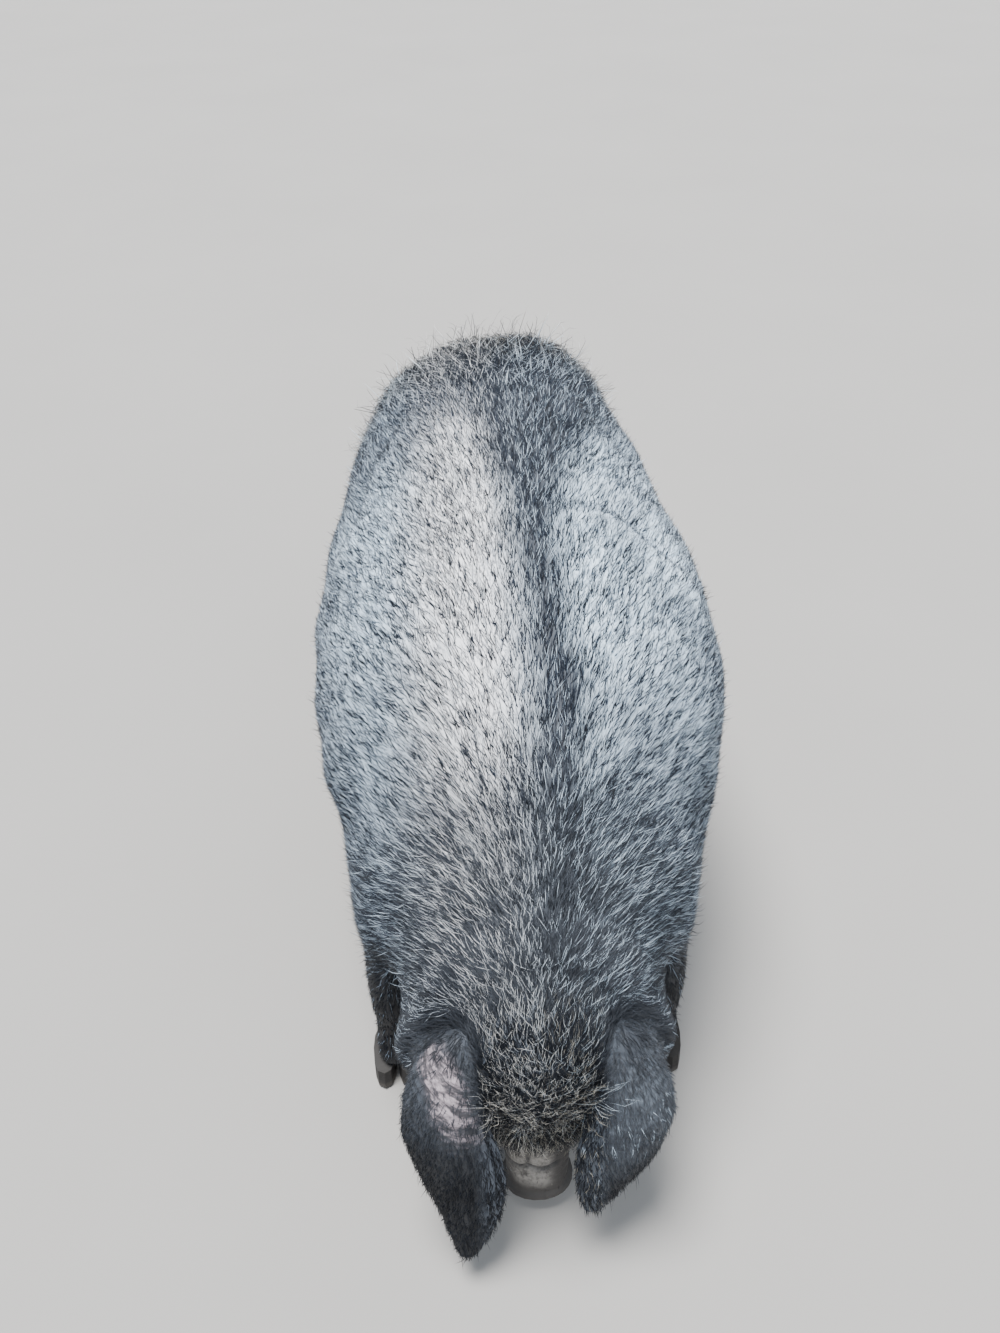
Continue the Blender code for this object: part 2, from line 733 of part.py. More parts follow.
def dew_claw(name, foot, side, inner, home):
    """A small blunt claw behind the foot, clear of the ground."""
    bm = bmesh.new()
    made = bmesh.ops.create_cone(bm, cap_ends=True, segments=8, radius1=1.0, radius2=0.55, depth=1.0)
    size = Matrix.Diagonal((DEW_CLAW["radius"], DEW_CLAW["radius"] * 0.9, DEW_CLAW["length"], 1))
    turn = Matrix.Rotation(math.radians(-160), 4, "X")
    spot = (side * foot["x"] + inner * DEW_CLAW["side"], foot["y"] + DEW_CLAW["reach"], DEW_CLAW["height"])
    bmesh.ops.transform(bm, matrix=Matrix.Translation(spot) @ turn @ size, verts=made["verts"])
    return mesh_object(name, bm, home)


def lie_on_trunk(point, normal):
    """The way the hair lies: back from the head, down the flanks and down the rump."""
    side = 1 if point.x > 0 else -1
    down = Vector((side * normal.z, 0.0, -side * normal.x))
    spread = min(1.0, abs(point.x) / 0.16)
    return Vector((0.0, 1.0, -0.45)) + down * 0.65 * spread


def lie_on_face(point, normal):
    return head_frame().to_3x3() @ Vector((0.25 * point.x / 0.08, 1.0, 0.0))


def lie_on_jowl(point, normal):
    return Vector((0.0, 0.75, -0.60))


def lock_line(tree, start, lie, length, sway, wave, phase):
    """Points and normals along the skin from a start, following the lie of the coat."""
    point, normal, _, _ = tree.find_nearest(start)
    steps = 12
    line = [(point, normal)]
    for i in range(steps):
        way = lie(point, normal)
        way = (way - normal * way.dot(normal)).normalized()
        turn = sway + wave * math.cos(phase + math.tau * i / steps)
        way = Matrix.Rotation(turn, 3, normal) @ way
        point, normal, _, _ = tree.find_nearest(point + way * length / steps)
        line.append((point, normal))
    return line


def on_line(line, share):
    """The point, the normal and the run of a line at a share of its length."""
    last = len(line) - 1
    place = share * last
    i = min(int(place), last - 1)
    point = line[i][0].lerp(line[i + 1][0], place - i)
    normal = line[i][1].lerp(line[i + 1][1], place - i).normalized()
    ahead, behind = line[min(i + 2, last)][0], line[max(i - 1, 0)][0]
    return point, normal, (ahead - behind).normalized()


def add_lock(home, line, width, lift, flatness=1.0):
    """One flat lock along a line on the skin: a ridge, two edges and a thin underside, to a point."""
    rings = []
    for share, broad, thick, height in LOCK_STATIONS:
        point, normal, way = on_line(line, share)
        across = normal.cross(way).normalized() * width * broad / 2
        centre = point + normal * (height * flatness + lift * share)
        edge = centre - normal * LOCK_CUP * broad * flatness
        ridge = centre + normal * LOCK_RIDGE * thick * flatness
        belly = centre - normal * (LOCK_BELLY * thick + LOCK_CUP * 0.5 * broad) * flatness
        rings.append([edge - across, ridge, edge + across, belly])
    point, normal, _ = on_line(line, 1.0)
    tip = point + normal * (LOCK_TIP_HEIGHT * flatness + lift)
    bm = bmesh.new()
    rows = [[bm.verts.new(p) for p in ring] for ring in rings]
    for low, high in zip(rows, rows[1:]):
        for i in range(4):
            j = (i + 1) % 4
            bm.faces.new((low[i], low[j], high[j], high[i]))
    bm.faces.new(rows[0][::-1])
    end = bm.verts.new(tip)
    for i in range(4):
        bm.faces.new((rows[-1][i], rows[-1][(i + 1) % 4], end))
    return mesh_object("lock", bm, home)


def grow(home, tree, starts, lie, size, rng, others, bend=0.16):
    """Sets a lock at each start, but none that would come near another node."""
    for start in starts:
        length = size["length"] * rng.uniform(0.88, 1.12)
        width = size["width"] * rng.uniform(0.88, 1.10)
        sway, wave = rng.uniform(-bend, bend), rng.uniform(0.2, 0.45) * rng.choice((-1, 1))
        line = lock_line(tree, start, lie, length, sway, wave, rng.uniform(0, math.tau))
        lift = rng.uniform(-0.001, 0.0015)
        points = [point + normal * (LOCK_TIP_HEIGHT + lift) for point, normal in line]
        near = min((other.find_nearest(p)[3] for other in others for p in points), default=1.0)
        if near > CLEAR + width / 2:
            add_lock(home, line, width, lift)


def ring_starts(tree, y, pitch, shift, lowest=COAT_REACH):
    """Points round the trunk at one place along it, a pitch apart over the skin."""
    count = 160
    hits = []
    for i in range(count + 1):
        angle = -lowest + 2 * lowest * i / count
        centre = Vector((0.0, y, COAT_AXIS))
        hit, _ = surface_point(tree, centre, Vector((math.sin(angle), 0.0, math.cos(angle))))
        hits.append(hit)
    run = [0.0]
    for a, b in zip(hits, hits[1:]):
        run.append(run[-1] + (b - a).length)
    number = max(1, round(run[-1] / pitch))
    starts = []
    for k in range(number):
        target = run[-1] * (k + 0.5 + shift) / number
        if target < run[-1]:
            starts.append(hits[int(np.searchsorted(run, target))])
    return starts


def coat_of_trunk(home, tree, others, rng):
    size = TRUNK_COAT
    for row in range(size["rows"]):
        y = size["from"] + (size["to"] - size["from"]) * row / (size["rows"] - 1)
        starts = ring_starts(tree, y, size["width"] * 1.06, 0.5 * (row % 2))
        grow(home, tree, starts, lie_on_trunk, size, rng, others)


def coat_of_rump(home, tree, others, rng):
    centre = Vector(RUMP["place"])
    for degrees, number in RUMP["rings"]:
        polar = math.radians(degrees)
        starts = []
        for k in range(number):
            turn = math.tau * (k + 0.5) / number
            way = (math.sin(polar) * math.sin(turn), math.cos(polar), math.sin(polar) * math.cos(turn))
            hit, _ = surface_point(tree, centre, Vector(way))
            starts.append(hit)
        grow(home, tree, starts, lie_on_trunk, TRUNK_COAT, rng, others, 0.4)


def coat_of_head(home, tree, others, rng):
    frame = head_frame()
    rows = FRINGE_COAT["rows"]
    for row in range(rows):
        along = FRINGE_COAT["from"] + (FRINGE_COAT["to"] - FRINGE_COAT["from"]) * row / (rows - 1)
        number = 4 + row % 2
        starts = []
        for k in range(number):
            across = (k - (number - 1) / 2) * FRINGE_COAT["width"] * 1.05
            hit, _ = surface_point(tree, frame @ Vector((across, along, 0.0)), frame.to_3x3() @ Vector((0, 0, 1)))
            starts.append(hit)
        grow(home, tree, starts, lie_on_face, FRINGE_COAT, rng, others, 0.45)
    for side in (-1, 1):
        starts = []
        for y, z in ((-0.415, 0.300), (-0.440, 0.262), (-0.425, 0.225), (-0.462, 0.215)):
            hit, _ = surface_point(tree, Vector((side * 0.03, y, z)), Vector((side, 0.0, 0.0)))
            starts.append(hit)
        grow(home, tree, starts, lie_on_jowl, JOWL_COAT, rng, others)


def with_locks(name, body, home, locks):
    """The body with a collection of locks fused into it. The loose locks are removed."""
    whole = duplicate(body, name, home)
    fuse = whole.modifiers.new("Locks", "BOOLEAN")
    fuse.operation = "UNION"
    fuse.solver = "MANIFOLD"
    fuse.operand_type = "COLLECTION"
    fuse.collection = locks
    applied(whole)
    for obj in list(locks.objects):
        bpy.data.objects.remove(obj)
    bpy.data.collections.remove(locks)
    return whole


def lock_home(name, parent):
    made = bpy.data.collections.new(name)
    made.hide_render = True
    parent.children.link(made)
    return made


def finished(obj, look, smooth_angle=40):
    """Gives a node its material, its shading and its place."""
    obj.data.materials.clear()
    obj.data.materials.append(look)
    obj.data.transform(Matrix.Translation((0, CENTRE_SHIFT, 0)))
    obj.data.shade_smooth()
    obj.data.set_sharp_from_angle(angle=math.radians(smooth_angle))
    return obj


def coat_of_leg(home, tree, starts, side, others, rng):
    points = []
    for x, y, z, way in starts:
        hit, _ = surface_point(tree, Vector((side * x, y, z)), Vector((side * way[0], way[1], 0.0)))
        points.append(hit)
    grow(home, tree, points, lie_on_leg, LEG_COAT, rng, others)


def lie_on_leg(point, normal):
    return Vector((0.0, 0.25, -1.0))


def tuft_of_tail(home, rng):
    """Locks round the end of the tail, longer than the tail itself."""
    line = eased_line(TAIL_LINE, 24)
    root, end = line[-6], line[-1]
    run = (end - root).normalized()
    for k in range(TUFT["locks"]):
        turn = math.tau * k / TUFT["locks"] + rng.uniform(-0.2, 0.2)
        out = Vector((math.cos(turn), math.sin(turn), 0.0))
        out = (out - run * out.dot(run)).normalized()
        length = TUFT["length"] * rng.uniform(0.85, 1.15)
        points = []
        for i in range(13):
            share = i / 12
            bulge = TAIL_RADII[-2] * (1 - share) + TUFT["swell"] * math.sin(math.pi * share)
            points.append((root + run * length * share + out * bulge, out))
        add_lock(home, points, TUFT["width"], 0.0, TUFT["flatness"])


def numbers(nodes):
    """Prints each node's triangles and their sum."""
    total = 0
    for name, (obj, _) in sorted(nodes.items()):
        obj.data.calc_loop_triangles()
        count = len(obj.data.loop_triangles)
        total += count
        print(name, count)
    print("triangles", total)


def feet_and_legs(coarse, tools, home, nodes):
    """Claws and dew claws, the cuts of each leg, and the cuts that part all legs from the trunk."""
    leg_cuts, steps = {}, []
    for end, cut in (("front", FORE_CUT), ("hind", HIND_CUT)):
        for word, side in (("right", -1), ("left", 1)):
            name = f"leg_{end}_{word}"
            outside = leg_space(f"outside_{name}", cut, side, GAP / 2, tools)
            inside = leg_space(f"inside_{name}", cut, side, -GAP / 2, tools)
            steps.append(("DIFFERENCE", outside))
            foot = FEET[end]
            coronet = coronet_cut(foot, side)
            above = half_space(f"above_coronet_{name}", coronet, -1, tools)
            below = half_space(f"below_coronet_{name}", coronet, 1, tools)
            leg_steps = (("INTERSECT", inside), ("INTERSECT", above))
            plain = parted(f"plain_{name}", coarse, tools, *leg_steps)
            dews = []
            for position, inner in (("outer", side), ("inner", -side)):
                toe = claw(f"claw_{end}_{word}_{position}", foot, side, inner, home)
                combined(toe, "INTERSECT", below)
                nodes[toe.name] = (keep_largest(toe), "claw")
                dew = dew_claw(f"dewclaw_{end}_{word}_{position}", foot, side, inner, home)
                nodes[dew.name] = (cut_clear(dew, plain, tools), "claw")
                dews.append(surface_tree(dew))
            leg_cuts[name] = (leg_steps, LEG_LOCKS[end], side, dews)
    return leg_cuts, steps


def build():
    clear_scene()
    rng = random.Random(SEED)
    scene = bpy.context.scene
    home = bpy.data.collections.new("mangalica_pig")
    scene.collection.children.link(home)
    tools = bpy.data.collections.new("cutters")
    tools.hide_render = True
    scene.collection.children.link(tools)
    looks = {name: material(name) for name in LOOKS}
    nodes = {}

    body = flesh(tools)
    coarse = simplified(body, "flesh_coarse", COARSE_SHARE, tools)
    fine = simplified(body, "flesh_fine", FINE_SHARE, tools)
    neck_far = half_space("beyond_neck_cut", NECK_CUT, 1, tools)
    neck_near = half_space("before_neck_cut", NECK_CUT, -1, tools)
    head_far = half_space("beyond_head_cut", HEAD_CUT, 1, tools)
    head_near = half_space("before_head_cut", HEAD_CUT, -1, tools)
    leg_cuts, apart = feet_and_legs(coarse, tools, home, nodes)
    torso_steps = [("INTERSECT", neck_near), *apart]
    neck_steps = [("INTERSECT", neck_far), ("INTERSECT", head_near)]
    head_steps = [("INTERSECT", neck_far), ("INTERSECT", head_far)]

    whole_head = detailed_head(duplicate(fine, "whole_head", tools), tools)
    eyes = []
    for name, (centre, look) in eye_places(surface_tree(whole_head)).items():
        socket(whole_head, centre, look, tools)
        ball = eyeball(name, centre, home)
        nodes[name] = (ball, "eye")
        eyes.append(surface_tree(ball))
    plain_head = parted("plain_head", whole_head, tools, *head_steps)
    plain_neck = parted("plain_neck", coarse, tools, *neck_steps)
    plain_torso = parted("plain_torso", coarse, tools, *torso_steps)
    ears = []
    for name, line in EAR_LINES.items():
        leaf = ear(name, line, home)
        cut_clear(leaf, plain_head, tools)
        cut_clear(leaf, plain_neck, tools)
        nodes[name] = (leaf, "skin")
        ears.append(surface_tree(leaf))

    bare_tail = tail(tools)
    locks = lock_home("locks_tail", tools)
    tuft_of_tail(locks, rng)
    whole = with_locks("tail", bare_tail, home, locks)
    nodes["tail"] = (cut_clear(whole, plain_torso, tools), "coat")
    tail_tree = surface_tree(whole)

    skin = surface_tree(coarse)
    locks = lock_home("locks_body", tools)
    coat_of_trunk(locks, skin, [tail_tree, *ears], rng)
    coat_of_rump(locks, skin, [tail_tree], rng)
    for leg_steps, starts, side, dews in leg_cuts.values():
        coat_of_leg(locks, skin, starts, side, dews, rng)
    whole = with_locks("covered_body", coarse, tools, locks)
    nodes["torso"] = (parted("torso", whole, home, *torso_steps), "coat")
    nodes["neck"] = (parted("neck", whole, home, *neck_steps), "coat")
    for name, (leg_steps, *_) in leg_cuts.items():
        nodes[name] = (parted(name, whole, home, *leg_steps), "coat")
    locks = lock_home("locks_head", tools)
    coat_of_head(locks, surface_tree(whole_head), ears + eyes, rng)
    whole = with_locks("covered_head", whole_head, tools, locks)
    nodes["head"] = (parted("head", whole, home, *head_steps), "coat")

    for obj, look in nodes.values():
        finished(obj, looks[look])
    for obj in list(tools.objects):
        bpy.data.objects.remove(obj)
    numbers(nodes)


build()
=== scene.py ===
# %% [markdown]
# A life-size mangalica pig, standing with its head down to the floor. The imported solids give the
# true shape: trunk, head, legs, ears, eyes and claws, with a coarse coat of wide locks. Here they
# get a living surface: one skin in place of the parted flesh, a coat of 190,000 fine tufts
# over it, and finishes for skin, hair, horn and eye.

# %% Load the frame
import json
import math

import bpy
import numpy as np
from mathutils import Matrix, Vector
from mathutils.bvhtree import BVHTree
from mathutils.kdtree import KDTree

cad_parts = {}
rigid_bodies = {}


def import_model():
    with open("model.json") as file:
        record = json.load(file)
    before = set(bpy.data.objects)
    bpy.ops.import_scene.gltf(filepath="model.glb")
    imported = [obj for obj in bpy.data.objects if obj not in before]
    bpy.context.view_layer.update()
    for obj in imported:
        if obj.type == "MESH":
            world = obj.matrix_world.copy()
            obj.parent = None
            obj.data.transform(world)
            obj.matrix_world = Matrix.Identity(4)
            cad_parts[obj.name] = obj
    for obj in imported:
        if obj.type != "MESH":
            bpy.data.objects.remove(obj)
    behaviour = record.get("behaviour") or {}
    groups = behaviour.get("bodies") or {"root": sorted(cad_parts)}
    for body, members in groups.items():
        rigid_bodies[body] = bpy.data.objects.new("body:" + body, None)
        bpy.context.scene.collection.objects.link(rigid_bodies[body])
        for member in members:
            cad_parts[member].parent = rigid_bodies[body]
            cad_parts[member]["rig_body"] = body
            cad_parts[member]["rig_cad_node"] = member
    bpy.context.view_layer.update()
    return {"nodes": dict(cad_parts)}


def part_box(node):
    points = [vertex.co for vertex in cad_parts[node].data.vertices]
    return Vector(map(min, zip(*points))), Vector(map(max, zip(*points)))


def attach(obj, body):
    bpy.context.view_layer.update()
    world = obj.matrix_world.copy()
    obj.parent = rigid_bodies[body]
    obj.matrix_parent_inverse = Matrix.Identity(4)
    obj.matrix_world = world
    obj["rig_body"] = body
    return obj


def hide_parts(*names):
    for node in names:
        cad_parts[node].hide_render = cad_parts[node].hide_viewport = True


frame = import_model()

# %% [markdown]
# The camera stands in front of the pig, a little to its right, above head height, and looks
# down steeply along the back. A wide lens from this close makes the barrel of the body swell
# and the rump shrink. The place and the angles are real sizes, found by matching outlines.

# %% Camera
CAMERA_PLACE = Vector((-0.0554, -0.9858, 1.2432))
CAMERA_DOWN = math.radians(42.0)
CAMERA_YAW = math.radians(2.45)
CAMERA_ROLL = math.radians(-0.8)
CAMERA_LENS = 27.0
SENSOR_WIDTH = 36.0

ahead = Vector((math.sin(CAMERA_YAW) * math.cos(CAMERA_DOWN),
                math.cos(CAMERA_YAW) * math.cos(CAMERA_DOWN),
                -math.sin(CAMERA_DOWN)))
level = Vector((math.cos(CAMERA_YAW), -math.sin(CAMERA_YAW), 0.0))
upward = level.cross(ahead)
camera_right = level * math.cos(CAMERA_ROLL) + upward * math.sin(CAMERA_ROLL)
camera_up = upward * math.cos(CAMERA_ROLL) - level * math.sin(CAMERA_ROLL)

bpy.ops.object.camera_add()
camera = bpy.context.object
camera.name = "camera"
turn = Matrix((camera_right, camera_up, -ahead)).transposed().to_4x4()
camera.matrix_world = Matrix.Translation(CAMERA_PLACE) @ turn
camera.data.lens = CAMERA_LENS
camera.data.sensor_width = SENSOR_WIDTH
bpy.context.scene.camera = camera
print("camera at", [round(c, 4) for c in CAMERA_PLACE], "with a lens of", CAMERA_LENS, "mm")

# %% [markdown]
# A soft studio: broad light from above and a little from the pig's right, which is the bright
# side of the back, a weaker one from the front, one from behind to edge the coat, and an even
# sky. Sun lamps light the floor the same everywhere, and their wide angle keeps shadows soft.
# The floor is a plain pale sheet, wide enough to fill any view.

# %% Floor and lights
FLOOR_SIZE = 60.0
LAMP_AWAY = 3.0
LAMPS = {
    # name: the side that the light comes from, strength, angle in degrees, colour
    "key": ((-0.18, 0.10, 1.00), 7.7, 25, (1.00, 0.99, 0.98)),
    "fill": ((0.60, -1.00, 0.80), 1.3, 60, (1.00, 0.98, 0.95)),
    "rim": ((0.30, 1.00, 0.45), 0.9, 40, (0.94, 0.97, 1.00)),
}
SKY = (0.70, 0.83, 1.00, 1.0)
SKY_STRENGTH = 0.68

bpy.ops.mesh.primitive_plane_add(size=FLOOR_SIZE)
floor = bpy.context.object
floor.name = "floor"
for name, (side, strength, angle, colour) in LAMPS.items():
    bpy.ops.object.light_add(type="SUN", location=Vector(side) * LAMP_AWAY)
    lamp = bpy.context.object
    lamp.name = f"lamp_{name}"
    lamp.data.angle = math.radians(angle)
    lamp.data.energy = strength
    lamp.data.color = colour
    lamp.rotation_euler = (-Vector(side)).to_track_quat("-Z", "Y").to_euler()
world = bpy.data.worlds.new("sky")
bpy.context.scene.world = world
world.use_nodes = True
world.node_tree.nodes["Background"].inputs["Color"].default_value = SKY
world.node_tree.nodes["Background"].inputs["Strength"].default_value = SKY_STRENGTH
print("floor", FLOOR_SIZE, "m wide, lamps", ", ".join(LAMPS))

# %% [markdown]
# Finishes are node trees, and a tree is easier to read as a sum. A small class wraps a socket,
# so that a Python expression on it adds the Math nodes, and one method adds any other node.

# %% Shader arithmetic
class Value:
    """A socket that Python's arithmetic works on."""

    def __init__(self, nodes, socket):
        self.nodes = nodes
        self.socket = socket

    def maths(self, operation, *others):
        return self.nodes.maths(operation, self, *others)

    def __add__(self, other):
        return self.maths("ADD", other)

    def __sub__(self, other):
        return self.maths("SUBTRACT", other)

    def __rsub__(self, other):
        return self.nodes.maths("SUBTRACT", other, self)

    def __mul__(self, other):
        return self.maths("MULTIPLY", other)

    __radd__ = __add__
    __rmul__ = __mul__


class Nodes:
    """The node tree of one material."""

    def __init__(self, material):
        material.use_nodes = True
        self.name = material.name
        self.tree = material.node_tree
        self.shader = self.tree.nodes["Principled BSDF"]

    def plug(self, socket, value):
        if isinstance(value, Value):
            self.tree.links.new(value.socket, socket)
        else:
            socket.default_value = value

    def add(self, kind, settings=None, sockets=None, output=0):
        node = self.tree.nodes.new(kind)
        for name, setting in (settings or {}).items():
            setattr(node, name, setting)
        for key, value in (sockets or {}).items():
            self.plug(node.inputs[key], value)
        return Value(self, node.outputs[output])

    def maths(self, operation, *values):
        return self.add("ShaderNodeMath", {"operation": operation}, dict(enumerate(values)))

    def place(self):
        return self.add("ShaderNodeTexCoord", output="Object")

    def split(self, vector):
        return [self.add("ShaderNodeSeparateXYZ", None, {0: vector}, axis) for axis in range(3)]

    def ease(self, value, start, end):
        """0 before start and 1 after end, smoothly."""
        return self.add("ShaderNodeMapRange", {"interpolation_type": "SMOOTHSTEP"},
                        {"Value": value, "From Min": start, "From Max": end})

    def noise(self, vector, scale, detail=3.0, rough=0.55):
        return self.add("ShaderNodeTexNoise", None,
                        {"Vector": vector, "Scale": scale, "Detail": detail, "Roughness": rough})

    def attribute(self, name):
        return self.add("ShaderNodeAttribute", {"attribute_name": name}, output="Fac")

    def mix(self, share, first, second):
        return self.add("ShaderNodeMix", {"data_type": "RGBA"}, {0: share, 6: first, 7: second}, 2)

    def bump(self, height, distance, strength):
        return self.add("ShaderNodeBump", None,
                        {"Strength": strength, "Distance": distance, "Height": height})

    def surface(self, **sockets):
        """Fills sockets of the shader and says how many nodes the finish has."""
        for key, value in sockets.items():
            self.plug(self.shader.inputs[key.replace("_", " ")], value)
        print("finish", self.name, "of", len(self.tree.nodes), "nodes")


def material(name):
    made = bpy.data.materials.new(name)
    return made, Nodes(made)


# %% [markdown]
# The floor is matt, pale plaster. A plain grey would look like a blank sheet, so a slow noise
# mixes two close greys into faint clouds. It has no bump, since the coat is what should be seen.

# %% Floor finish
FLOOR_DIM = (0.34, 0.328, 0.312, 1)
FLOOR_PALE = (0.382, 0.369, 0.352, 1)
FLOOR_CLOUDS = 1.5

floor_finish, nodes = material("floor_pale")
clouds = nodes.noise(nodes.place(), FLOOR_CLOUDS, 4.0)
nodes.surface(Base_Color=nodes.mix(clouds, FLOOR_DIM, FLOOR_PALE), Roughness=0.85)
floor.data.materials.append(floor_finish)

# %% [markdown]
# A mangalica's skin is slate grey, nearly black on belly and legs, and on this pig the flanks
# look pale with dry scurf, with a dark band down the spine. The same markings colour the skin
# and the hair over it, so they are one function of the place on the body. The dark band is
# off the middle, as the back leans a little to the pig's left, and widens to a cap on the rump.
# A near-white strip on the right of the back, the side that the key light comes from, is a painted
# highlight. Painted shade dims the haunches and darkens the flanks low down, less on the left half,
# so that there and on the shoulder the left half is paler than the right. Painted shade also
# darkens the roots of the ears. Noise bends most of the borders.

# %% Markings
BAND_MIDDLE, BAND_HALF, BAND_SOFT = 0.026, 0.030, 0.028
CAP_SHIFT, CAP_WIDER = 0.030, 0.075
# Middle of the painted highlight's strip, on the right of the back.
HIGHLIGHT_MIDDLE = -0.06
DRIFT, DRIFT_SCALE = 0.06, 9.0
RUMP_LEAN = 0.35
BORDERS = {
    # name: the two places, in metres, between which a share goes from 0 to 1
    "cap": (-0.06, 0.34),
    # the painted highlight's strip, across the back
    "highlight_strip": (0.02, 0.10),
    "rump": (0.44, 0.68),
    "fore": (-0.50, -0.26),
    "brow_back": (-0.53, -0.46),
    "brow_side": (0.055, 0.075),
    "fringe_top": (0.21, 0.30),
    "left_ear_side": (0.055, 0.075),
    "left_ear_back": (-0.51, -0.48),
    "left_ear_tip": (0.12, 0.19),
    "underside": (0.14, 0.34),
    # painted shade low on the flanks and on the haunches
    "low_flank": (0.34, 0.56),
    "haunch_shade": (0.11, 0.28),
    "left_half": (-0.06, 0.06),
    # painted shade round the ears' roots
    "ear_root_side": (0.062, 0.090),
    "ear_root_back": (-0.47, -0.42),
    "ear_root_low": (0.255, 0.300),
}
# How much pale the rump and the shoulder lose, and how much the painted shade low on the flanks and on
# the haunches takes.
PALE_LOST = {"rump": 0.90, "fore": 0.95, "low": 0.97, "haunch_shade": 0.82}
# How much less of that loss the left half has, low down and on the shoulder.
LEFT_KEEPS = {"fore": 0.13, "low": 0.27}
PATCHY, PATCH_SCALE, PATCH_EDGE = 0.38, 6.0, (0.38, 0.56)
# How dark the painted shade round the ears' roots is, and how far forward it reaches on the left.
EAR_ROOT_SHADE_DARK, LEFT_ROOT_FORWARD = 0.60, 0.035


def markings(nodes):
    """The place on the body, and the share from 0 to 1 of each marking and of the painted highlight and
    shade there.
    """

    def past(value, border):
        return nodes.ease(value, *BORDERS[border])

    place = nodes.place()
    x, y, z = nodes.split(place)
    aside = x.maths("ABSOLUTE")
    drift = (nodes.noise(place, DRIFT_SCALE) - 0.5) * DRIFT
    patch = nodes.noise(place, PATCH_SCALE, 5.0, 0.65)
    cap = past(y + drift * 2, "cap")
    off = (x - BAND_MIDDLE - cap * CAP_SHIFT + drift).maths("ABSOLUTE")
    band = 1 - nodes.ease(off - cap * CAP_WIDER, BAND_HALF - BAND_SOFT, BAND_HALF + BAND_SOFT)
    # Painted highlight: a near-white strip on the right of the back.
    highlight_strip = 1 - past((x - HIGHLIGHT_MIDDLE).maths("ABSOLUTE"), "highlight_strip")
    rump = past(y + drift * 3 + z * RUMP_LEAN, "rump")
    fore = 1 - past(y + drift * 1.5, "fore")
    brow = (1 - past(y + drift, "brow_back")) * (1 - past(aside, "brow_side"))
    fringe = brow * (1 - past(z + drift, "fringe_top"))
    left_ear = past(x, "left_ear_side") * (1 - past(y, "left_ear_back")) * past(z + drift, "left_ear_tip")
    under = (1 - past(z + drift * 1.5, "underside")) * (1 - brow * 0.9) * (1 - left_ear * 0.75)
    # Painted shade low on the flanks, weaker on the left half, and on the haunches.
    low = 1 - past(z + drift, "low_flank")
    haunch_shade = past(aside * 0.3 + y + drift * 2, "haunch_shade")
    left_half = past(x, "left_half")
    pale = (1 - band) * (1 - rump * PALE_LOST["rump"]) * (1 - under)
    pale = pale * (1 - fore * (PALE_LOST["fore"] - left_half * LEFT_KEEPS["fore"]))
    pale = pale * (1 - low * (PALE_LOST["low"] - left_half * LEFT_KEEPS["low"]))
    pale = pale * (1 - haunch_shade * PALE_LOST["haunch_shade"])
    pale = pale * (1 - PATCHY + nodes.ease(patch, *PATCH_EDGE) * PATCHY)
    # Painted shade round the ears' roots, where ear and head meet: it takes the pale away, and the
    # underside's share carries it on, darkening skin and hair.
    ear_root_shade = past(aside, "ear_root_side")
    ear_root_shade = ear_root_shade * (1 - past(y + drift + left_half * LEFT_ROOT_FORWARD, "ear_root_back"))
    ear_root_shade = ear_root_shade * past(z, "ear_root_low")
    pale = pale * (1 - ear_root_shade)
    under = under.maths("MAXIMUM", ear_root_shade * EAR_ROOT_SHADE_DARK)
    neck = fore * (1 - under) * (1 - brow)
    return {"place": place, "band": band, "highlight_strip": highlight_strip, "pale": pale, "rump": rump,
            "under": under, "brow": brow, "fringe": fringe, "neck": neck}


# %% [markdown]
# Under the hair the skin is thick and dry. It has fine creases, drawn as bump in two sizes, and
# paler scurf on the flanks, turned near white by a painted highlight on the right of the back.
# The snout is bare, a little smoother, and grey in the middle, a little to the pig's right of
# centre, darker to the sides and towards the bottom. The mouth line and the snout's fold and cleft
# are darkened as painted shade. Where the right ear is rubbed bare, streaks of pinkish grey show
# in the dark skin.

# %% Skin finish
SKIN_BLACK = (0.014, 0.015, 0.018, 1)
SKIN_SLATE = (0.075, 0.088, 0.110, 1)
SKIN_SCURF = (0.72, 0.87, 1.00, 1)
# Near-white of the painted highlight on the right of the back.
SKIN_HIGHLIGHT = (0.98, 0.98, 1.00, 1)
SNOUT_DARK = (0.045, 0.041, 0.038, 1)
SNOUT_GREY = (0.300, 0.282, 0.256, 1)
EAR_DARK = (0.060, 0.055, 0.062, 1)
EAR_PINK = (0.40, 0.34, 0.37, 1)
WRINKLE_SCALE, FLECK_SCALE, STREAK_SCALE = 70.0, 240.0, 62.0
SCURF_EDGE = (0.62, 1.00)
# Middle of the snout's grey, and where it darkens to the sides and towards the bottom.
SNOUT_MIDDLE, SNOUT_GREY_SIDE, SNOUT_GREY_LOW = -0.008, (0.014, 0.030), (0.042, 0.064)
SNOUT_SPECKS = (0.30, 0.60)
EAR_STREAKS, EAR_EDGE = (0.43, 0.60), (0.45, 1.10)
CREASE_DEPTH = 0.0016
# How dark the painted shade in the mouth line and in the snout's fold and cleft is.
MOUTH_SHADE, CREASE_SHADE = 0.85, 0.80

skin_finish, nodes = material("skin_slate")
marks = markings(nodes)
wrinkle = nodes.noise(marks["place"], WRINKLE_SCALE, 5.0, 0.65)
fleck = nodes.noise(marks["place"], FLECK_SCALE, 3.0, 0.6)
x, y, z = nodes.split(marks["place"])
slanted = nodes.add("ShaderNodeCombineXYZ", None, {0: x * 0.6, 1: y * 0.6, 2: z * 2.2 + x * 1.3})
streak = nodes.noise(slanted, STREAK_SCALE, 5.0, 0.65)
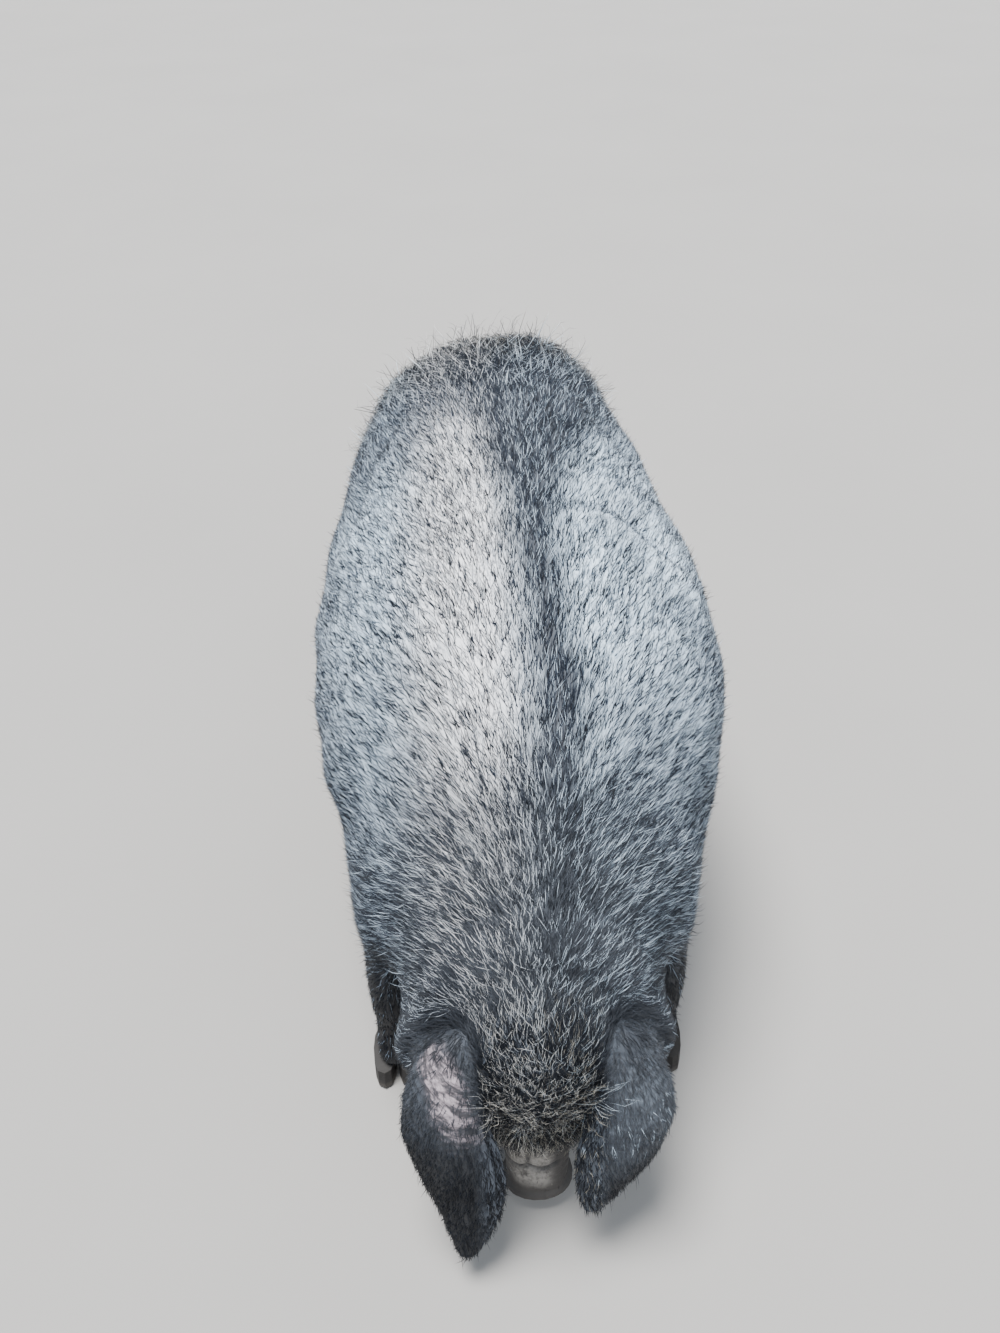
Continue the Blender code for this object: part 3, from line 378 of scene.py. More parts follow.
# Darker on the underside, in the painted shade round the ears' roots, on the rump cap and on the band.
dim = marks["under"].maths("MAXIMUM", marks["rump"] * 0.65).maths("MAXIMUM", marks["band"] * 0.45)
tint = nodes.mix(dim, SKIN_SLATE, SKIN_BLACK)
# Scurf, turned near white by the painted highlight on the right of the back.
scurf_and_highlight = nodes.mix(marks["highlight_strip"], SKIN_SCURF, SKIN_HIGHLIGHT)
tint = nodes.mix(marks["pale"] * nodes.ease(wrinkle + fleck, *SCURF_EDGE), tint, scurf_and_highlight)
snout = nodes.attribute("snout")
# The snout is grey in its middle and darker to the sides and towards the bottom.
paler_share = 1 - nodes.ease((x - SNOUT_MIDDLE).maths("ABSOLUTE"), *SNOUT_GREY_SIDE)
paler_share = paler_share * nodes.ease(z, *SNOUT_GREY_LOW)
speckled = nodes.ease(wrinkle * 0.6 + fleck * 0.4, *SNOUT_SPECKS)
tint = nodes.mix(snout, tint, nodes.mix(paler_share * speckled, SNOUT_DARK, SNOUT_GREY))
ear_bare = nodes.attribute("ear_bare")
ear_tint = nodes.mix(nodes.ease(streak * 0.75 + fleck * 0.25, *EAR_STREAKS), EAR_DARK, EAR_PINK)
tint = nodes.mix(nodes.ease(ear_bare + streak * 0.5, *EAR_EDGE), tint, ear_tint)
# Painted shade in the grooves of the mouth line and of the snout's fold and cleft.
tint = nodes.mix(nodes.attribute("mouth") * MOUTH_SHADE, tint, SKIN_BLACK)
tint = nodes.mix(nodes.attribute("crease") * CREASE_SHADE, tint, SKIN_BLACK)
relief = nodes.bump(wrinkle * 0.5 + fleck * 0.3 + streak * ear_bare, CREASE_DEPTH, 0.8)
nodes.surface(Base_Color=tint, Roughness=0.62 - snout * 0.15, Specular_IOR_Level=0.35, Normal=relief)

# %% [markdown]
# Each tuft carries two numbers: how far along it a point is, and a draw of its own. The draw
# decides whether the tuft is dark or pale, and pale is more likely where the scurf is, less
# likely in the painted shade low on the flanks, on the haunches and round the ears' roots. The
# dark ones are black to slate, and ash on the neck. The pale ones are grey to white, near white
# in the painted highlight on the right of the back, and the tips on rump, forehead and fringe
# fade to cream.

# %% Coat finish
HAIR_BLACK = (0.007, 0.008, 0.011, 1)
HAIR_SLATE = (0.022, 0.032, 0.052, 1)
HAIR_ASH = (0.082, 0.090, 0.104, 1)
HAIR_GREY = (0.24, 0.31, 0.41, 1)
HAIR_WHITE = (0.73, 0.87, 1.00, 1)
# Near-white of the painted highlight on the right of the back.
HAIR_HIGHLIGHT = (0.94, 0.96, 0.98, 1)
HAIR_CREAM = (0.92, 0.85, 0.70, 1)
SOOT = {"under": 0.80, "brow": 0.80, "rump": 0.60}
PALE_SHARE = 0.30
MORE_PALE = {"pale": 0.12, "under": -0.21, "band": -0.11, "rump": -0.08, "brow": -0.04, "neck": -0.10}
PALE_FROM = (0.98, 1.02)
BRIGHT_TONES, CREAM_TONES = (0.66, 0.95), (0.68, 0.80)
CREAM_ALONG = (0.25, 0.8)
CREAMY = {"brow": 0.50, "fringe": 0.45, "rump": 0.35}
BRIGHTER = {"rump": 0.50, "neck": 0.50}

coat_finish, nodes = material("coat_bristle")
marks = markings(nodes)
tone = nodes.attribute("tone")
along = nodes.attribute("along")
# Blacker hair on the underside, in the painted shade round the ears' roots, on the brow and on the rump.
sooty = marks["under"] * SOOT["under"]
for mark in ("brow", "rump"):
    sooty = sooty.maths("MAXIMUM", marks[mark] * SOOT[mark])
tint = nodes.mix(nodes.ease(tone, 0.00, 0.60) * (1 - sooty), HAIR_BLACK, HAIR_SLATE)
tint = nodes.mix(marks["neck"] * 0.85, tint, HAIR_ASH)
pale_share = PALE_SHARE
for mark, more in MORE_PALE.items():
    pale_share = pale_share + marks[mark] * more
is_pale = nodes.ease(tone + pale_share, *PALE_FROM)
bright = nodes.ease(tone, *BRIGHT_TONES) * (0.85 - marks["under"] * 0.65)
for mark, more in BRIGHTER.items():
    bright = bright + marks[mark] * more
# Pale tufts turn near white in the painted highlight on the right of the back.
white = nodes.mix(marks["highlight_strip"], HAIR_WHITE, HAIR_HIGHLIGHT)
tint = nodes.mix(is_pale, tint, nodes.mix(bright + marks["pale"] * 0.70, HAIR_GREY, white))
creamy = sum(marks[mark] * share for mark, share in CREAMY.items())
cream = nodes.ease(along, *CREAM_ALONG) * creamy
cream = cream * nodes.ease(tone, *CREAM_TONES) * (1 - marks["under"] * 0.6)
nodes.surface(Base_Color=nodes.mix(cream, tint, HAIR_CREAM), Roughness=0.50, Specular_IOR_Level=0.20)

# %% [markdown]
# Claws are dull dark horn with rings of growth and a worn, dusty edge at the ground. Eyes are
# dark brown and wet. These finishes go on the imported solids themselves.

# %% Horn and eye finishes
HORN_DARK = (0.018, 0.017, 0.017, 1)
HORN_WORN = (0.10, 0.09, 0.08, 1)
HORN_RINGS, HORN_RING_DEPTH = 160, 0.0015
WORN_HEIGHT = (0.004, 0.020)
EYE_BROWN = (0.055, 0.026, 0.012, 1)
EYE_BLACK = (0.004, 0.004, 0.005, 1)

horn_finish, nodes = material("claw_horn")
place = nodes.place()
x, y, z = nodes.split(place)
layered = nodes.add("ShaderNodeCombineXYZ", None, {0: x * 8, 1: y * 8, 2: z * HORN_RINGS})
rings = nodes.noise(layered, 2.2, 3.0)
paler_share = (1 - nodes.ease(z + rings * 0.012, *WORN_HEIGHT)) * 0.8 + nodes.noise(place, 120.0, 4.0) * 0.25
nodes.surface(Base_Color=nodes.mix(paler_share, HORN_DARK, HORN_WORN), Roughness=0.58 + paler_share * 0.25,
              Specular_IOR_Level=0.25, Normal=nodes.bump(rings, HORN_RING_DEPTH, 0.6))

eye_finish, nodes = material("eye_wet")
speck = nodes.noise(nodes.place(), 500.0, 2.0)
nodes.surface(Base_Color=nodes.mix(speck, EYE_BLACK, EYE_BROWN), Roughness=0.06)

dressed = [name for name in frame["nodes"] if "claw" in name or name.startswith("eye")]
for name in dressed:
    materials = frame["nodes"][name].data.materials
    materials.clear()
    materials.append(eye_finish if name.startswith("eye") else horn_finish)
print("finishes on", len(dressed), "packed solids")

# %% [markdown]
# The solids part the flesh into nodes with thin cuts. To get one skin without seams, copies of
# the nodes are swollen by half a millimetre so that they touch, joined, and remeshed by voxels.
# The head, ears and tail need finer voxels than the trunk, so there are two such meshes.

# %% Copies of the flesh
LEGS = ["leg_front_left", "leg_front_right", "leg_hind_left", "leg_hind_right"]
SWELL = 0.0005
SAME_POINT = 0.000002
BODY_VOXEL, HEAD_VOXEL = 0.0055, 0.0022


def select_only(*objects):
    bpy.ops.object.select_all(action="DESELECT")
    for obj in objects:
        obj.select_set(True)
    bpy.context.view_layer.objects.active = objects[0]


def joined_copy(name, node_names):
    """One mesh of copies of these nodes, merged and swollen until they touch."""
    copies = []
    for node in node_names:
        copy = frame["nodes"][node].copy()
        copy.data = copy.data.copy()
        copy.parent = None
        copy.matrix_world = Matrix.Identity(4)
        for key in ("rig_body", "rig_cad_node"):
            del copy[key]
        bpy.context.collection.objects.link(copy)
        copies.append(copy)
    select_only(*copies)
    bpy.ops.object.join()
    made = bpy.context.object
    made.name = name
    bpy.ops.object.mode_set(mode="EDIT")
    bpy.ops.mesh.select_all(action="SELECT")
    bpy.ops.mesh.remove_doubles(threshold=SAME_POINT)
    bpy.ops.transform.shrink_fatten(value=SWELL)
    bpy.ops.object.mode_set(mode="OBJECT")
    return made


def apply_modifier(obj, kind, **settings):
    select_only(obj)
    modifier = obj.modifiers.new(kind.title(), kind)
    for name, setting in settings.items():
        setattr(modifier, name, setting)
    bpy.ops.object.modifier_apply(modifier=modifier.name)


body = joined_copy("skin", ["torso", "neck", "head"] + LEGS)
apply_modifier(body, "REMESH", mode="VOXEL", voxel_size=BODY_VOXEL)
fine = joined_copy("skin_fine", ["head", "neck", "ear_left", "ear_right", "tail"])
apply_modifier(fine, "REMESH", mode="VOXEL", voxel_size=HEAD_VOXEL)
print("faces of the trunk's and the head's mesh", len(body.data.polygons), len(fine.data.polygons))

# %% [markdown]
# Smoothing, coat depth, growth and lie of the hair all change from place to place, so they need
# to know where on the body a point is. The head is measured along its own axis, from the crown
# to the snout, and out of the face. Each part of the body is then a weight from 0 to 1, worked
# out for all points at once, so that one part passes softly into the next.

# %% Places on the body
CROWN = np.array((0.0, -0.4564, 0.307))
HEAD_TILT = math.radians(79)
HEAD_AXIS = np.array((0.0, -math.cos(HEAD_TILT), -math.sin(HEAD_TILT)))
FACE_OUT = np.array((0.0, -math.sin(HEAD_TILT), math.cos(HEAD_TILT)))
FORE_LEG_Y, HIND_LEG_Y = -0.33, 0.39
FAR, NEAR_BOX = 1.0, 0.03
JAW = (-0.44, -0.38)
FOREHEAD_OUT, FOREHEAD_END = (0.045, 0.060), (0.13, 0.17)
FACE_START = (0.050, 0.090)
FORE_LEG, HIND_LEG = (0.09, 0.14), (0.10, 0.16)
LEG_TOP, LEG_ASIDE = (0.14, 0.27), (0.05, 0.10)
RUMP = (0.42, 0.66)
EAR_SKIN = (0.002, 0.006)


def ease(value, start, end):
    """0 before start and 1 after end, smoothly, on arrays."""
    share = np.clip((value - start) / (end - start), 0.0, 1.0)
    return share * share * (3 - 2 * share)


def points_of(mesh):
    values = np.empty(len(mesh.vertices) * 3)
    mesh.vertices.foreach_get("co", values)
    return values.reshape(-1, 3)


def normals_of(mesh):
    values = np.empty(len(mesh.vertices) * 3)
    mesh.vertex_normals.foreach_get("vector", values)
    return values.reshape(-1, 3)


def set_points(mesh, points):
    mesh.vertices.foreach_set("co", points.ravel())
    mesh.update()


def along_head(points):
    """How far down the head's axis points lie, from the crown, in metres."""
    return (points - CROWN) @ HEAD_AXIS


def out_of_face(points):
    return (points - CROWN) @ FACE_OUT


def on_head(points):
    """1 on the head and 0 behind the jaw and the ears."""
    return 1 - ease(points[:, 1], *JAW)


def on_face(points):
    """1 round the eyes and on snout and jaw, 0 at forehead, poll and jowls."""
    along = along_head(points)
    forehead = ease(out_of_face(points), *FOREHEAD_OUT) * (1 - ease(along, *FOREHEAD_END))
    return ease(along, *FACE_START) * on_head(points) * (1 - forehead)


def on_legs(points):
    """1 on the lower legs, 0 on the trunk."""
    fore = 1 - ease(np.abs(points[:, 1] - FORE_LEG_Y), *FORE_LEG)
    hind = 1 - ease(np.abs(points[:, 1] - HIND_LEG_Y), *HIND_LEG)
    lower = (1 - ease(points[:, 2], *LEG_TOP)) * np.maximum(fore, hind)
    return lower * ease(np.abs(points[:, 0]), *LEG_ASIDE)


def on_rump(points):
    """1 on the rump, whose border leans forward at the top, and 0 before it."""
    return ease(points[:, 1] + RUMP_LEAN * points[:, 2], *RUMP)


def distance_to(points, *node_names):
    """How far points are from CAD nodes, worked out only near the nodes' boxes."""
    distance = np.full(len(points), FAR)
    for name in node_names:
        low_corner, high_corner = (np.array(corner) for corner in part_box(name))
        near = np.all((points > low_corner - NEAR_BOX) & (points < high_corner + NEAR_BOX), axis=1)
        mesh = frame["nodes"][name].data
        faces = [tuple(face.vertices) for face in mesh.polygons]
        tree = BVHTree.FromPolygons([tuple(point) for point in points_of(mesh)], faces)
        for i in np.nonzero(near)[0]:
            distance[i] = min(distance[i], tree.find_nearest(points[i])[3])
    return distance


def on_ears(points):
    return 1 - ease(distance_to(points, "ear_left", "ear_right"), *EAR_SKIN)


print("crown at", CROWN, "head tilted by", round(math.degrees(HEAD_TILT)), "degrees")

# %% [markdown]
# The remeshed copies still show the solids' wide locks. Smoothing melts them, strongly on the
# trunk, where the forms are big, and hardly at all on the face, where lids and nostrils are
# small. On the forehead the locks are too thick to melt, so they are first pressed down to a
# rounded roof: a height and a half width at six places along the head. The Smooth modifier takes
# its weights from a vertex group, and the trunk is remeshed once more, which evens its faces.

# %% Melt the locks
HEAD_ALONG = (-0.042, 0.000, 0.042, 0.084, 0.126, 0.168)
FACE_HEIGHT = (0.050, 0.076, 0.087, 0.082, 0.062, 0.042)
HALF_WIDTH = (0.071, 0.082, 0.085, 0.082, 0.070, 0.054)
SQUARENESS = 2.3
PRESSED_FROM, PRESSED_INSIDE = (-0.02, 0.01), 0.1
WEIGHT_STEPS = 20
SMOOTHED = {"trunk": 110, "ears": 10, "poll": 100, "forehead": 24}
KEPT_ON_LEGS, KEPT_ON_FACE = 0.85, 0.80
LEAST_LEGS, LEAST_EARS = 0.12, 0.20
TAIL_END = (0.45, 0.50)


def smoothed(obj, weights, iterations):
    """Smooths a mesh by weights from 0 to 1, rounded to steps so that the group fills fast."""
    group = obj.vertex_groups.new(name="soft")
    steps = np.round(weights * WEIGHT_STEPS).astype(int)
    for step in range(1, WEIGHT_STEPS + 1):
        group.add(np.nonzero(steps == step)[0].tolist(), step / WEIGHT_STEPS, "REPLACE")
    apply_modifier(obj, "SMOOTH", factor=0.9, iterations=iterations, vertex_group="soft")
    obj.vertex_groups.clear()


def pressed(points):
    """Points of the forehead's locks, pressed down to the head's own curve, so no knob is left."""
    along = along_head(points)
    height = np.interp(along, HEAD_ALONG, FACE_HEIGHT)
    wide = np.interp(along, HEAD_ALONG, HALF_WIDTH)
    inside = np.maximum(1 - (np.abs(points[:, 0]) / wide) ** SQUARENESS, 0.0)
    roof = height * inside ** (1 / SQUARENESS)
    excess = np.maximum(out_of_face(points) - roof, 0.0) * (inside > PRESSED_INSIDE)
    excess *= ease(along, *PRESSED_FROM) * (along < HEAD_ALONG[-1])
    return points - FACE_OUT * excess[:, None]


set_points(body.data, pressed(points_of(body.data)))
points = points_of(body.data)
soft = np.maximum(LEAST_LEGS, 1 - on_legs(points) * KEPT_ON_LEGS)
smoothed(body, soft * (1 - on_face(points) * KEPT_ON_FACE), SMOOTHED["trunk"])
apply_modifier(body, "REMESH", mode="VOXEL", voxel_size=BODY_VOXEL)
points = points_of(fine.data)
ears = on_ears(points)
tail_end = ease(points[:, 1], *TAIL_END)
smoothed(fine, np.maximum(LEAST_EARS, ears), SMOOTHED["ears"])
smoothed(fine, (1 - on_face(points)) * (1 - ears) * (1 - tail_end), SMOOTHED["poll"])
print("points of the ears", int((ears > 0.5).sum()), "and of the tail", int((tail_end > 0.5).sum()))

# %% [markdown]
# Now the small forms of the living head, as moves of the mesh's own points: creases across the
# snout with one deep fold and a cleft above it, a mouth line with lips, and the ripples of a lop
# ear's loose skin. The mouth line is found by rays, from one corner past the chin to the other.
# The barrel gets deep folds behind the ribs, over the hip and the ham and behind the elbows.

# %% Folds and creases
FACE_FRONT = (-0.015, 0.005)
SNOUT_CREASES = {"from": (0.180, 0.200), "to": (0.262, 0.272), "pitch": 0.0115, "depth": 0.0009}
CREASE_SWAY, CREASE_SWAYS = 0.5, 60
SNOUT_FOLD = {"along": 0.236, "depth": 0.0032, "half": 0.0028, "sag": 0.006, "waves": 90}
FOLD_SIDE = (0.030, 0.042)
SNOUT_CLEFT = {"x": -0.013, "depth": 0.0026, "half": 0.0030, "from": (0.195, 0.215), "fade": 0.004}
EAR_RIPPLES = {"pitch": 0.0095, "depth": 0.0005, "from": (0.16, 0.22)}
RIPPLE_SWAY, RIPPLE_BEND = (1.3, 150), (2.0, 70, 40)
# Along the head, and behind the crown's line
MOUTH_CORNER, MOUTH_FRONT = (0.164, 0.0185), (0.267, 0.0151)
# Depth and half width, and then height, distance from the mouth line and half width
MOUTH_GROOVE = (0.0040, 0.0028)
LIP_SWELL = (0.0013, 0.0060, 0.0035)
MOUTH_POINTS, MOUTH_CAST = 15, 0.2
CHIN_BACK, CHIN_DOWN, CHIN_UNDER = 0.025, 0.55, 0.45
FOLDS = {
    "behind_ribs_left": ((0.060, 0.005, 0.61), (0.11, 0.0, 0.605), (0.15, -0.020, 0.585),
                         (0.19, -0.045, 0.56), (0.22, -0.090, 0.50), (0.24, -0.12, 0.42)),
    "hip_left": ((0.095, 0.26, 0.61), (0.145, 0.17, 0.585), (0.19, 0.11, 0.54), (0.22, 0.08, 0.46)),
    "ham_right": ((-0.13, 0.31, 0.58), (-0.175, 0.21, 0.55), (-0.205, 0.11, 0.51), (-0.235, 0.04, 0.44)),
    "elbow_left": ((0.19, -0.20, 0.42), (0.21, -0.24, 0.34), (0.20, -0.25, 0.26)),
    "elbow_right": ((-0.19, -0.20, 0.42), (-0.21, -0.24, 0.34), (-0.20, -0.25, 0.26)),
}
FOLD_DEPTH, FOLD_HALF = 0.0085, 0.017
FOLD_SWELL, FOLD_SWELL_AT, FOLD_SWELL_HALF = 0.0035, 0.040, 0.022


def bell(value, middle, half):
    return np.exp(-(((value - middle) / half) ** 2))


def distance_to_line(points, line):
    """How far points are from a line of straight pieces."""
    nearest = np.full(len(points), FAR)
    for start, end in zip(line, line[1:]):
        start, end = np.array(start), np.array(end)
        run = end - start
        share = np.clip((points - start) @ run / (run @ run), 0.0, 1.0)
        away = np.linalg.norm(points - start - share[:, None] * run, axis=1)
        nearest = np.minimum(nearest, away)
    return nearest


def snout_lines(points):
    """The deep fold across the snout, and the cleft above it: 1 on the line and 0 away from it."""
    along = along_head(points)
    aside = np.abs(points[:, 0] - SNOUT_CLEFT["x"])
    fold_at = SNOUT_FOLD["along"] + SNOUT_FOLD["sag"] * np.sin(aside * SNOUT_FOLD["waves"])
    front = ease(out_of_face(points), *FACE_FRONT) * on_head(points)
    above = ease(along, *SNOUT_CLEFT["from"]) * (1 - ease(along, fold_at - SNOUT_CLEFT["fade"], fold_at))
    fold = bell(along, fold_at, SNOUT_FOLD["half"]) * (1 - ease(aside, *FOLD_SIDE))
    return fold * front, bell(aside, 0.0, SNOUT_CLEFT["half"]) * above * front


def mouth_line(obj):
    """Points on the head round the mouth, from one corner past the chin to the other."""
    faces = [tuple(face.vertices) for face in obj.data.polygons]
    tree = BVHTree.FromPolygons([tuple(point) for point in points_of(obj.data)], faces)
    line = []
    for angle in np.linspace(0, math.pi, MOUTH_POINTS):
        forward = math.sin(angle)
        along = MOUTH_CORNER[0] + (MOUTH_FRONT[0] - MOUTH_CORNER[0]) * forward
        drop = MOUTH_CORNER[1] + (MOUTH_FRONT[1] - MOUTH_CORNER[1]) * forward
        start = CROWN + HEAD_AXIS * (along - CHIN_BACK * forward) - FACE_OUT * drop
        way = np.array((math.cos(angle), 0.0, 0.0)) + HEAD_AXIS * CHIN_DOWN * forward**3
        way = way - FACE_OUT * CHIN_UNDER * forward
        way = way / np.linalg.norm(way)
        hit = tree.ray_cast(Vector(start + way * MOUTH_CAST), Vector(-way), MOUTH_CAST)[0]
        line.append(np.array(hit))
    return line


points = points_of(fine.data)
along = along_head(points)
creases = SNOUT_CREASES
phase = math.pi * (along - creases["from"][0]) / creases["pitch"]
phase = phase + CREASE_SWAY * np.sin(points[:, 0] * CREASE_SWAYS)
band = ease(along, *creases["from"]) * (1 - ease(along, *creases["to"]))
move = -creases["depth"] * (1 - np.abs(np.sin(phase))) ** 2 * band
move = move * ease(out_of_face(points), *FACE_FRONT)
fold, cleft = snout_lines(points)
move -= SNOUT_FOLD["depth"] * fold + SNOUT_CLEFT["depth"] * cleft
drift = np.sin(points[:, 0] * RIPPLE_SWAY[1]) * RIPPLE_SWAY[0]
bent = np.sin(points[:, 1] * RIPPLE_BEND[1] + points[:, 2] * RIPPLE_BEND[2])
drift = drift + bent * RIPPLE_BEND[0]
ripple = np.sin(math.tau * points[:, 2] / EAR_RIPPLES["pitch"] + drift)
move += EAR_RIPPLES["depth"] * ripple * ears * ease(points[:, 2], *EAR_RIPPLES["from"])
mouth = distance_to_line(points, mouth_line(fine))
move -= MOUTH_GROOVE[0] * bell(mouth, 0.0, MOUTH_GROOVE[1])
move += LIP_SWELL[0] * bell(mouth, LIP_SWELL[1], LIP_SWELL[2])
move *= on_head(points)
set_points(fine.data, points + normals_of(fine.data) * move[:, None])

points = points_of(body.data)
move = np.zeros(len(points))
for name, line in FOLDS.items():
    away = distance_to_line(points, line)
    swell = FOLD_SWELL * bell(away, FOLD_SWELL_AT, FOLD_SWELL_HALF)
    move += swell - FOLD_DEPTH * bell(away, 0.0, FOLD_HALF)
    print(name, "moves", int((away < FOLD_HALF).sum()), "points")
set_points(body.data, points + normals_of(body.data) * move[:, None])

# %% [markdown]
# The tips of the hair should come to lie where the solids end, so the skin moves inwards by the
# depth of the coat, more on the trunk than on legs and face. The trunk's mesh makes the
# forehead's skin, because it is smooth there, and the finer one hides under it. Behind the poll
# the finer mesh is drawn in, so that the trunk's skin covers its end.

# %% Sink the skin by the coat's depth
TRUNK_DEPTH = 0.0065
LEG_DEPTH = 0.0025
POLL_DEPTH = 0.0050
FACE_DEPTH = 0.0008
HIDDEN = 0.0040
FOREHEAD_DEPTH = 0.016
TUCK = 0.20
NECK_MIDDLE = 0.33
TAIL_ROOT = 0.030
UPPER_HEAD, UPPER_OUT = (0.125, 0.150), (0.030, 0.050)
TUCK_FROM = (-0.465, -0.415)
TAIL_ROOT_LOW = (0.485, 0.515)


def sink(obj, depth):
    set_points(obj.data, points_of(obj.data) - normals_of(obj.data) * depth[:, None])


def on_forehead(points):
    """1 where the trunk's mesh makes the forehead's skin and the finer one hides under it."""
    upper = 1 - ease(along_head(points), *UPPER_HEAD)
    return upper * ease(out_of_face(points), *UPPER_OUT) * on_head(points)


points = points_of(body.data)
depth = TRUNK_DEPTH + (LEG_DEPTH - TRUNK_DEPTH) * on_legs(points)
depth = depth + HIDDEN * on_head(points) * (1 - on_forehead(points))
print("skin sinks by", round(depth.min() * 1000, 1), "to", round(depth.max() * 1000, 1), "mm")
sink(body, depth)
points = points_of(fine.data)
covered = 1 - on_face(points)
depth = FACE_DEPTH + (POLL_DEPTH - FACE_DEPTH) * covered
depth = depth + (FACE_DEPTH - depth) * np.maximum(ears, tail_end)
forehead = on_forehead(points) * (1 - ears)
sink(fine, depth * (1 - forehead))
set_points(fine.data, points_of(fine.data) - FACE_OUT * (FOREHEAD_DEPTH * forehead)[:, None])
points = points_of(fine.data)
shrink = 1 - TUCK * ease(points[:, 1], *TUCK_FROM) * (1 - tail_end)
points[:, 0] *= shrink
points[:, 2] = NECK_MIDDLE + (points[:, 2] - NECK_MIDDLE) * shrink
points[:, 1] -= TAIL_ROOT * tail_end * ease(points[:, 2], *TAIL_ROOT_LOW)
set_points(fine.data, points)

# %% [markdown]
# Both meshes have far more faces than their forms need, so Decimate thins them, less on the head
# and ears. A Boolean union makes them one closed skin, which is cleaner than two that overlap.
# Scraps that the union leaves inside are removed, and the seam on the forehead is smoothed.

# %% One skin
BODY_SHARE, HEAD_SHARE = 0.32, 0.42

apply_modifier(body, "DECIMATE", ratio=BODY_SHARE)
apply_modifier(fine, "DECIMATE", ratio=HEAD_SHARE)
union = body.modifiers.new("Head", "BOOLEAN")
union.operation = "UNION"
union.solver = "MANIFOLD"
union.object = fine
select_only(body)
bpy.ops.object.modifier_apply(modifier="Head")
bpy.data.objects.remove(fine)

select_only(body)
bpy.ops.object.mode_set(mode="EDIT")
bpy.ops.mesh.separate(type="LOOSE")
bpy.ops.object.mode_set(mode="OBJECT")
shells = sorted(bpy.context.selected_objects, key=lambda shell: len(shell.data.polygons))
body = shells.pop()
body.name = "skin"
for scrap in shells:
    bpy.data.objects.remove(scrap)
select_only(body)
points = points_of(body.data)
smoothed(body, on_forehead(points) * (1 - on_ears(points)), SMOOTHED["forehead"])
body.data.calc_loop_triangles()
print("skin triangles", len(body.data.loop_triangles), "scraps removed", len(shells))
body.data.materials.clear()
body.data.materials.append(skin_finish)
bpy.ops.object.shade_smooth()
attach(body, "root")
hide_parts("torso", "neck", "head", "tail", "ear_left", "ear_right", *LEGS)

# %% [markdown]
# When the hair's colours are baked into a picture, each tuft needs a small patch of it, and that
# patch lies at its root's place on the skin's unwrap. So the skin is unwrapped before the hair
# grows. Smart UV Project cuts it up by the angle between faces, so it needs no seams by hand.

# %% Unwrap the skin
UNWRAP_ANGLE = math.radians(66)
ISLAND_GAP = 0.002

select_only(body)
bpy.ops.object.mode_set(mode="EDIT")
bpy.ops.mesh.select_all(action="SELECT")
bpy.ops.uv.smart_project(angle_limit=UNWRAP_ANGLE, island_margin=ISLAND_GAP)
bpy.ops.object.mode_set(mode="OBJECT")
body.data.uv_layers[0].name = "OFBake"
print("unwrapped", len(body.data.uv_layers[0].data), "corners of faces")

# %% [markdown]
# Two places have next to no hair: the snout below the forehead's fringe, and the upper outer
# face of the right ear, where the skin is rubbed bare. Both are kept as values of the skin's
# points, because finish and coat need them, and so are the mouth line and the snout's fold and
# cleft, which the finish darkens as painted shade in these grooves.

# %% Bare skin
SNOUT_FROM = (0.165, 0.225)
BARE_MIDDLE, BARE_LEAN, BARE_SIDE = (-0.095, 0.26), 0.35, (0.010, 0.040)
BARE_LOW, BARE_HIGH, BARE_BACK = (0.155, 0.290), (0.285, 0.312), (0.480, 0.500)
# How close to the ears the painted shade round their roots reaches on the coat.
BY_EARS = (0.006, 0.024)


def on_snout(points):
    return ease(along_head(points), *SNOUT_FROM) * on_head(points)


def on_bare_ear(points, ears):
    """The rubbed place on the right ear, which fades out on all sides."""
    x, y, z = points.T
    aside = np.abs(x - BARE_MIDDLE[0] + (z - BARE_MIDDLE[1]) * BARE_LEAN)
    upper = ease(z, *BARE_LOW) * (1 - ease(z, *BARE_HIGH))
    return ears * (1 - ease(aside, *BARE_SIDE)) * upper * ease(-y, *BARE_BACK)


points = points_of(body.data)
skin_ears = on_ears(points)
# Nearness to the ears, for the painted shade round their roots on the coat.
by_ears = 1 - ease(distance_to(points, "ear_left", "ear_right"), *BY_EARS)
bare = {"snout": on_snout(points) * (1 - skin_ears), "ear_bare": on_bare_ear(points, skin_ears)}
# Where the mouth line and the snout's fold and cleft lie, for the painted shade in these grooves.
bare["mouth"] = bell(distance_to_line(points, mouth_line(body)), 0.0, MOUTH_GROOVE[1]) * on_head(points)
bare["crease"] = np.maximum(*snout_lines(points)) * (1 - skin_ears)
for name, values in bare.items():
    attribute = body.data.attributes.new(name, "FLOAT", "POINT")
    attribute.data.foreach_set("value", values.astype(np.float32))
    print(name, "on", int((values > 0.5).sum()), "points")

# %% [markdown]
# The hair lies back along the trunk, out and down over the flanks, straight down on rump, legs,
# tail and ears. On top of the head it lies back over the poll, and from the middle of the
# forehead it hangs down over the snout as a fringe. Each direction takes over from the last by a
# weight, and the result is laid flat on the skin.

# %% Lie of the coat
SPREAD, SPREAD_SIDE = 0.38, 0.10
BACKWARDS = (0.0, 1.0, 0.0)
DOWN_RUMP, RUMP_END = (0.0, 0.6, -0.8), (0.50, 0.58)
UNDERSIDE = (0.3, 0.8)
DOWN_LEG = (0.0, 0.25, -1.0)
DOWN_CHEEK, CHEEK_SIDE = (0.0, 0.75, -0.60), (0.070, 0.090)
DOWN_TAIL = (0.0, 0.05, -1.0)
TAIL_Y = 0.588
HANG_FROM, HANG_TO = (0.095, 0.120), (0.185, 0.205)
FAN, FAN_SIDE, FAN_ALONG = (4.0, 22.0), (0.030, 0.060), (0.02, 0.07)
HEAD_FROM = (-0.06, 0.01)


